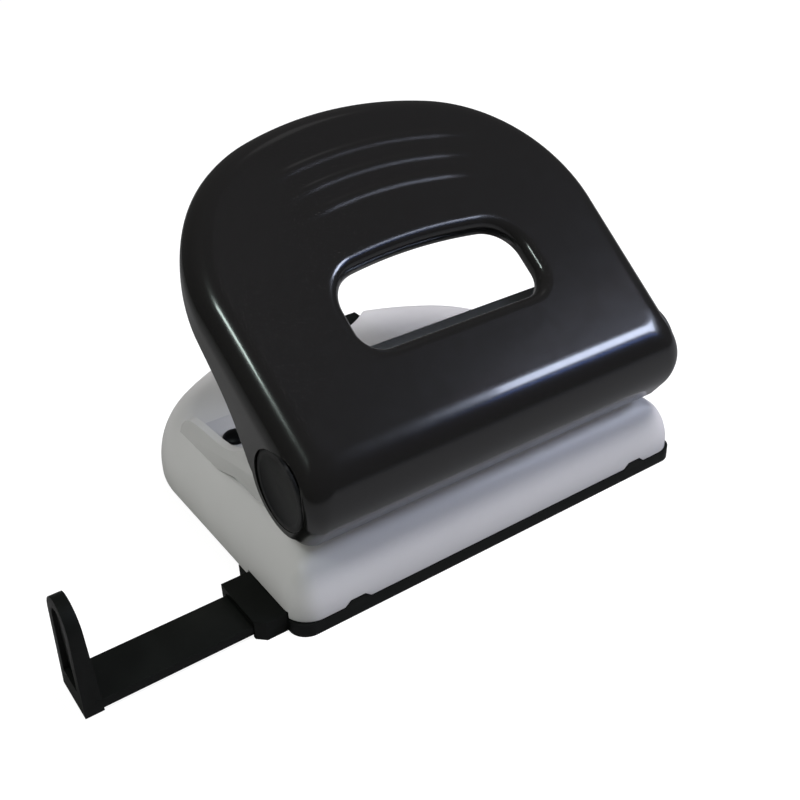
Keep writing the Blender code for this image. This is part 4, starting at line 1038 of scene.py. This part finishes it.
black_enamel = enamel("black_enamel", (0.0068, 0.0065, 0.0064), (0.05, 0.048, 0.045), 0.20, 0.30, 0.5)
lever_piece = closed_skin("lever_cover", rings)
HINGE_LINE = (0.0, 0.0, 0.0)
AXLE_HOLE = AXLE_RADIUS + HOLE_GAP
CAP_RADIUS = 8.7 * MM
CAP_RECESS = 1.2 * MM
reach = LEVER_HALF_WIDTH + OVERRUN
cut(lever_piece, turned("axle_hole", [(AXLE_HOLE, -reach), (AXLE_HOLE, reach)], HINGE_LINE, "X"))
for side in (-1, 1):
    face = side * (LEVER_HALF_WIDTH - CAP_RECESS)
    profile = [(CAP_RADIUS + HOLE_GAP, face), (CAP_RADIUS + HOLE_GAP, side * reach)]
    cut(lever_piece, turned("recess", profile, HINGE_LINE, "X", 96))
dress(lever_piece, black_enamel, "lever", "lever_shell", placing=lever_to_frame, crease=40)

# Press bar: zinc plated steel strip folded to an angle and spot welded under the lever plate.
# Its sloping leg bears on the domed tops of both pins.
PRESS_TILT = math.radians(22.1)
PRESS_OFFSET = 9.0 * MM
PRESS_SHEET = 1.5 * MM
PRESS_START = 7.5 * MM
PRESS_END = 18.0 * MM
PRESS_FLANGE = 5.5 * MM
PRESS_HALF_LENGTH = 44.5 * MM
along = Vector((math.cos(PRESS_TILT), -math.sin(PRESS_TILT)))
square = Vector((math.sin(PRESS_TILT), math.cos(PRESS_TILT)))
start = square * PRESS_OFFSET + along * PRESS_START
end = square * PRESS_OFFSET + along * PRESS_END
end_top = end + square * PRESS_SHEET
press_top = LEVER_NOSE - LEVER_SHEET - TOUCH_GAP
bend_level = start[1] + PRESS_SHEET * (1 - math.sin(PRESS_TILT)) / math.cos(PRESS_TILT)
press_profile = [
    tuple(start),
    tuple(end),
    tuple(end_top),
    (start[0] + PRESS_SHEET, bend_level),
    (start[0] + PRESS_SHEET, press_top),
    (start[0] - PRESS_FLANGE, press_top),
    (start[0] - PRESS_FLANGE, press_top - PRESS_SHEET),
    (start[0], press_top - PRESS_SHEET),
]
press_piece = sideways("pressing_bar", press_profile, -PRESS_HALF_LENGTH, PRESS_HALF_LENGTH)
rounded(press_piece)
dress(press_piece, zinc_plate, "lever", "press_bar", placing=lever_to_frame)

# Hinge axle: zinc plated steel rod through both lobes and both ears, which the lever turns on.
# It is bored at its ends, where the caps' stems are pressed in.
AXLE_BORE_RADIUS = 1.5 * MM
AXLE_BORE_DEPTH = 3.5 * MM
AXLE_EDGE_ROUND = 0.15 * MM
axle_end = LEVER_HALF_WIDTH - CAP_RECESS
axle_piece = turned("hinge_rod", [(AXLE_RADIUS, -axle_end), (AXLE_RADIUS, axle_end)], HINGE_LINE, "X")
for side in (-1, 1):
    places = (axle_end - AXLE_BORE_DEPTH, axle_end + OVERRUN)
    profile = [(AXLE_BORE_RADIUS, side * place) for place in places]
    cut(axle_piece, turned("bore", profile, HINGE_LINE, "X"))
rounded(axle_piece, AXLE_EDGE_ROUND, 2)
dress(axle_piece, zinc_plate, "lever", "hinge_axle", placing=lever_to_frame)

# Axle caps: round covers moulded in black satin plastic, with a raised rim and a shallow dished face.
# Each sits in a round recess of the lobe and is held by a stem in the axle's bore.
CAP_THICKNESS = 0.6 * MM
CAP_DISH = 0.5 * MM
CAP_RIM = 1.1 * MM
CAP_STEM_LENGTH = 2.6 * MM


def plastic(name, colour, roughness, grain, depth):
    """Moulded plastic: spark eroded grain, cloudy flow marks, and lighter rubbed edges."""
    made = Finish(name, colour, roughness, specular=0.20)
    cloud = made.noise(90.0, 3.0)
    light = tuple(channel * 1.5 for channel in colour)
    body = made.blend(cloud.between(0.3, 0.8), (*colour, 1.0), (*light, 1.0))
    rubbed = made.wear() * made.noise(500.0, 4.0).between(0.45, 0.68)
    made.set("Base Color", made.blend(rubbed * 0.5, body, (0.030, 0.030, 0.030, 1.0)))
    texture = made.noise(grain, 2.0)
    made.set("Roughness", texture * 0.12 + cloud * 0.06 + (roughness - 0.09))
    made.set("Normal", made.bump(texture, depth, 0.5))
    return made.material


satin_plastic = plastic("satin_plastic", (0.0040, 0.0042, 0.0046), 0.38, 3500.0, 0.00002)
seat = LEVER_HALF_WIDTH - CAP_RECESS + TOUCH_GAP
cap_face = seat + CAP_THICKNESS
stem = AXLE_BORE_RADIUS - TOUCH_GAP
corner = CAP_DISH / 2
for side, word in ((-1, "left"), (1, "right")):
    profile = [(stem, seat - CAP_STEM_LENGTH), (stem, seat), (CAP_RADIUS, seat)]
    profile += arc(CAP_RADIUS - corner, cap_face - corner, corner, 0.0, math.pi / 2, 6)
    profile += [
        (CAP_RADIUS - CAP_RIM, cap_face),
        (CAP_RADIUS - CAP_RIM - CAP_DISH * 0.5, cap_face - CAP_DISH * 0.15),
        (CAP_RADIUS - CAP_RIM - CAP_DISH, cap_face - CAP_DISH * 0.5),
        (CAP_RIM, cap_face - CAP_DISH * 0.5),
    ]
    cap = turned("axle_cover_" + word, [(r, side * x) for r, x in profile], HINGE_LINE, "X", 96)
    dress(cap, satin_plastic, "lever", word + "_axle_cap", placing=lever_to_frame, crease=45)

# Chip tray: black moulded bottom that snaps into the base, with the guide's channel and a finger tab.
# Its front rim shows as a thin black line with two lugs; its collar lets the guide out on the left.
TRAY_FLOOR = 1.6 * MM
TRAY_BLOCK_DEPTH = 25.8 * MM
TRAY_INSET = 3.4 * MM
TRAY_CORNER_RADIUS = 4.2 * MM
TRAY_WALL = 1.4 * MM
TRAY_WALL_TOP = 8.0 * MM
TRAY_TAB_HALF = 19.0 * MM
TRAY_TAB_BACK = 90.5 * MM
TRAY_TAB_TOP = 15.4 * MM
TRAY_TAB_WALL = 1.8 * MM
TRAY_EDGE_ROUND = 0.22 * MM
GUIDE_FRONT = 6.9 * MM
GUIDE_WIDTH = 11.7 * MM
GUIDE_THICKNESS = 2.8 * MM
GUIDE_LOW = TOUCH_GAP
GUIDE_TOP = GUIDE_LOW + GUIDE_THICKNESS
GUIDE_LIP = 1.0 * MM
GUIDE_STEP = 0.7 * MM
GUIDE_BAR_LENGTH = 112.0 * MM
GUIDE_REACH = 90.4 * MM
COLLAR_END = 60.6 * MM
COLLAR_CORNER = 1.8 * MM
CHANNEL_TOP = GUIDE_TOP + TOUCH_GAP
moulded_plastic = plastic("moulded_plastic", (0.0032, 0.0036, 0.0032), 0.50, 4200.0, 0.00003)


def tray_layer(name, inset, low, high):
    return upright(name, base_outline(inset), low, high)


def tray_tab(inset, low, high):
    """The finger tab that fills the base's notch, or the hollow under it."""
    half = TRAY_TAB_HALF - inset
    outline = [p for p in notch_outline(TRAY_TAB_BACK, TOUCH_GAP * 2 + inset) if abs(p[0]) < half]
    outline += [(half, TRAY_TAB_BACK - inset), (-half, TRAY_TAB_BACK - inset)]
    return upright("tab", outline, low, high)


tray_piece = tray_layer("bottom_tray", TRAY_INSET, 0.0, TRAY_WALL_TOP)
block_outline = d_outline(
    BASE_HALF_WIDTH, 0.0, BASE_DEPTH, TRAY_CORNER_RADIUS, BASE_CORNER_RADIUS, BASE_SIDE_END
)
front_block = upright("block", block_outline, 0.0, BASE_RIM - TOUCH_GAP)
tray_reach = BASE_HALF_WIDTH + OVERRUN
behind_low = (-tray_reach, TRAY_BLOCK_DEPTH, -OVERRUN)
cut(front_block, block("behind", behind_low, (tray_reach, BASE_DEPTH + OVERRUN, BASE_TOP)))
weld(tray_piece, front_block)
tray_inner = TRAY_INSET + TRAY_WALL
cut(tray_piece, tray_layer("chip_space", tray_inner, TRAY_FLOOR, BASE_TOP))
tab_low = (-NOTCH_RADIUS, TRAY_TAB_BACK, TRAY_FLOOR)
cut(tray_piece, block("behind_tab", tab_low, (NOTCH_RADIUS, BASE_DEPTH, BASE_TOP)))
channel_right = BASE_HALF_WIDTH - tray_inner
channel = [
    (-COLLAR_END + COLLAR_CORNER, COLLAR_FRONT),
    (channel_right, COLLAR_FRONT),
    (channel_right, COLLAR_BACK),
    (-COLLAR_END, COLLAR_BACK),
    (-COLLAR_END, COLLAR_FRONT + COLLAR_CORNER),
]
weld(tray_piece, upright("channel", channel, 0.0, COLLAR_TOP))
weld(tray_piece, tray_tab(0.0, 0.0, TRAY_TAB_TOP))
cut(tray_piece, tray_tab(TRAY_TAB_WALL, -OVERRUN, TRAY_TAB_TOP - TRAY_TAB_WALL))
for side in (-1, 1):
    weld(tray_piece, snap_lug(side * SNAP_OFFSET, 0.0, 0.0, TRAY_INSET))
slide_end = GUIDE_BAR_LENGTH - COLLAR_END + TOUCH_GAP
slide_left = -COLLAR_END - OVERRUN
wide_low = (slide_left, GUIDE_FRONT - TOUCH_GAP, GUIDE_LOW + GUIDE_LIP - TOUCH_GAP)
wide_high = (slide_end, GUIDE_FRONT + GUIDE_WIDTH + TOUCH_GAP, CHANNEL_TOP)
cut(tray_piece, block("slide", wide_low, wide_high))
slit_low = (slide_left, GUIDE_FRONT + GUIDE_STEP - TOUCH_GAP, -OVERRUN)
slit_back = GUIDE_FRONT + GUIDE_WIDTH - GUIDE_STEP + TOUCH_GAP
cut(tray_piece, block("slit", slit_low, (slide_end, slit_back, CHANNEL_TOP / 2)))
rounded(tray_piece, TRAY_EDGE_ROUND, 2)
dress(tray_piece, moulded_plastic, "tray", "chip_tray")

# Paper guide: black moulded bar that slides in the tray, with a thumb tab standing up at its left end.
# The tab thins towards its round top and has a shallow pocket on its outer face.
GUIDE_TAB_HEIGHT = 24.9 * MM
GUIDE_TAB_FOOT = 3.8 * MM
GUIDE_TAB_TIP = 2.5 * MM
GUIDE_TAB_OUT = 2.2 * MM
GUIDE_TAB_TOP_RADIUS = 5.4 * MM
GUIDE_POCKET_DEPTH = 1.4 * MM
GUIDE_POCKET_MARGIN = 2.3 * MM
GUIDE_LEAN = 0.4 * MM
GUIDE_EDGE_ROUND = 0.45 * MM


def tab_outline(front, back, low, high, radius):
    """An upright outline in (y, z) with a round top."""
    middle = (front + back) / 2
    narrowing = min(1.0, (back - front) / 2 / radius)
    crown = arc(middle, high - radius, radius, 0.0, math.pi, 32)
    return [(front, low), (back, low)] + [(middle + (y - middle) * narrowing, z) for y, z in crown]


guide_back = GUIDE_FRONT + GUIDE_WIDTH
step_level = GUIDE_LOW + GUIDE_LIP
bar_profile = [
    (GUIDE_FRONT + GUIDE_STEP, GUIDE_LOW),
    (guide_back - GUIDE_STEP, GUIDE_LOW),
    (guide_back - GUIDE_STEP, step_level),
    (guide_back, step_level),
    (guide_back, GUIDE_TOP),
    (GUIDE_FRONT, GUIDE_TOP),
    (GUIDE_FRONT, step_level),
    (GUIDE_FRONT + GUIDE_STEP, step_level),
]
bar_start = -GUIDE_REACH - GUIDE_TAB_OUT - GUIDE_TAB_TIP / 2
guide_piece = sideways("sliding_guide", bar_profile, bar_start, GUIDE_BAR_LENGTH - GUIDE_REACH)
tab_points = tab_outline(GUIDE_FRONT, guide_back, GUIDE_LOW, GUIDE_TAB_HEIGHT, GUIDE_TAB_TOP_RADIUS)
tab_rings = []
for share in (0.0, 1.0):
    ring = []
    for y, z in tab_points:
        up = (z - GUIDE_LOW) / (GUIDE_TAB_HEIGHT - GUIDE_LOW)
        thickness = GUIDE_TAB_FOOT + (GUIDE_TAB_TIP - GUIDE_TAB_FOOT) * up
        inner_face = -GUIDE_REACH - GUIDE_TAB_OUT - GUIDE_LEAN * up
        ring.append((inner_face - (1 - share) * thickness, y, z))
    tab_rings.append(ring)
weld(guide_piece, solid("tab", tab_rings))
margin = GUIDE_POCKET_MARGIN
pocket_points = tab_outline(
    GUIDE_FRONT + margin,
    guide_back - margin,
    GUIDE_TOP + margin,
    GUIDE_TAB_HEIGHT - margin,
    GUIDE_TAB_TOP_RADIUS - margin,
)
outer_face = -GUIDE_REACH - GUIDE_TAB_OUT - GUIDE_TAB_FOOT
pocket_floor = outer_face + GUIDE_POCKET_DEPTH
cut(guide_piece, sideways("pocket", pocket_points, outer_face - OVERRUN, pocket_floor))
rounded(guide_piece, GUIDE_EDGE_ROUND)
dress(guide_piece, moulded_plastic, "guide", "paper_guide")

# Studio: a pale floor and a white surround for the camera, and soft boxes as in a product photograph.
# A bluish strip stands high on the right and a narrow greenish one on the left; broad lamps fill the rest.
FLOOR_HALF = 3.0
FLOOR_GLOW = 0.9
SURROUND_ON_PUNCH = 0.055
SURROUND_IN_VIEW = 1.0
floor_mesh = bpy.data.meshes.new("studio_floor")
floor_signs = [(-1, -1), (1, -1), (1, 1), (-1, 1)]
floor_corners = [(x * FLOOR_HALF, y * FLOOR_HALF, 0.0) for x, y in floor_signs]
floor_mesh.from_pydata(floor_corners, [], [(0, 1, 2, 3)])
floor = bpy.data.objects.new("studio_floor", floor_mesh)
bpy.context.scene.collection.objects.link(floor)
floor_finish = Finish("floor_paper", (0.20, 0.20, 0.20), 0.9, specular=0.1)
seen = floor_finish.node("ShaderNodeLightPath", {}, {}, "Is Camera Ray")
glow = floor_finish.node("ShaderNodeEmission", {}, {"Strength": seen * FLOOR_GLOW}, "Emission")
sockets = {0: Wire(floor_finish, floor_finish.surface.outputs["BSDF"]), 1: glow}
paper = floor_finish.node("ShaderNodeAddShader", {}, sockets, "Shader")
floor_finish.feed(floor_finish.nodes["Material Output"].inputs["Surface"], paper)
floor_mesh.materials.append(floor_finish.material)

world = bpy.data.worlds.new("studio")
world.use_nodes = True
bpy.context.scene.world = world
sky = world.node_tree.nodes["Background"]
path = world.node_tree.nodes.new("ShaderNodeLightPath")
shade = world.node_tree.nodes.new("ShaderNodeMix")
shade.data_type = "FLOAT"
world.node_tree.links.new(path.outputs["Is Camera Ray"], shade.inputs["Factor"])
shade.inputs["A"].default_value = SURROUND_ON_PUNCH
shade.inputs["B"].default_value = SURROUND_IN_VIEW
world.node_tree.links.new(shade.outputs["Result"], sky.inputs["Strength"])
sky.inputs["Color"].default_value = (1.0, 1.0, 1.0, 1.0)

STUDIO_MIDDLE = Vector((0.0, 0.0, 30.0)) * MM


def softbox(name, azimuth, elevation, distance, size, power, colour, roll=0.0, mirrored=True):
    """A lamp that faces the punch, its place and roll in degrees, which the gloss mirrors or not."""
    a = math.radians(azimuth)
    e = math.radians(elevation)
    away = Vector((math.sin(a) * math.cos(e), -math.cos(a) * math.cos(e), math.sin(e)))
    data = bpy.data.lights.new(name, "AREA")
    data.shape = "RECTANGLE"
    data.size, data.size_y = size
    data.energy = power
    data.color = colour
    lamp = bpy.data.objects.new(name, data)
    bpy.context.scene.collection.objects.link(lamp)
    facing = away.to_track_quat("Z", "Y").to_matrix().to_4x4()
    tilt = Matrix.Rotation(math.radians(roll), 4, "Z")
    lamp.matrix_world = Matrix.Translation(STUDIO_MIDDLE + away * distance) @ facing @ tilt
    lamp.visible_glossy = mirrored


# Name, azimuth from the front, elevation, distance in metres, width and height, watts, and colour.
softbox("right_box", 54.0, 36.5, 0.9, (0.27, 0.17), 2.75, (0.70, 0.78, 1.0), roll=-41.0)
softbox("right_edge", 46.0, 28.5, 0.9, (0.26, 0.06), 0.14, (0.10, 0.28, 1.0), roll=-41.0)
softbox("right_glow", 64.0, 43.0, 0.9, (0.40, 0.10), 0.02, (1.0, 0.80, 0.88), roll=-41.0)
softbox("left_strip", -71.0, 53.5, 0.9, (0.15, 0.07), 0.85, (0.85, 1.0, 0.94))
softbox("rear_glow", 134.0, 60.0, 0.9, (0.20, 0.20), 0.03, (1.0, 1.0, 1.0))
softbox("key", 32.0, 72.0, 0.5, (0.18, 0.14), 3.0, (1.0, 0.98, 1.0), mirrored=False)
softbox("front_fill", 40.0, 10.0, 1.1, (1.2, 0.3), 2.8, (0.96, 0.96, 1.0), mirrored=False)
softbox("rear_fill", -125.0, 50.0, 1.2, (0.9, 0.7), 6.0, (1.0, 0.97, 0.96), mirrored=False)
softbox("left_fill", -85.0, 24.0, 1.1, (0.9, 0.6), 2.3, (0.93, 1.0, 0.84), mirrored=False)
bpy.context.scene.view_settings.view_transform = "Standard"
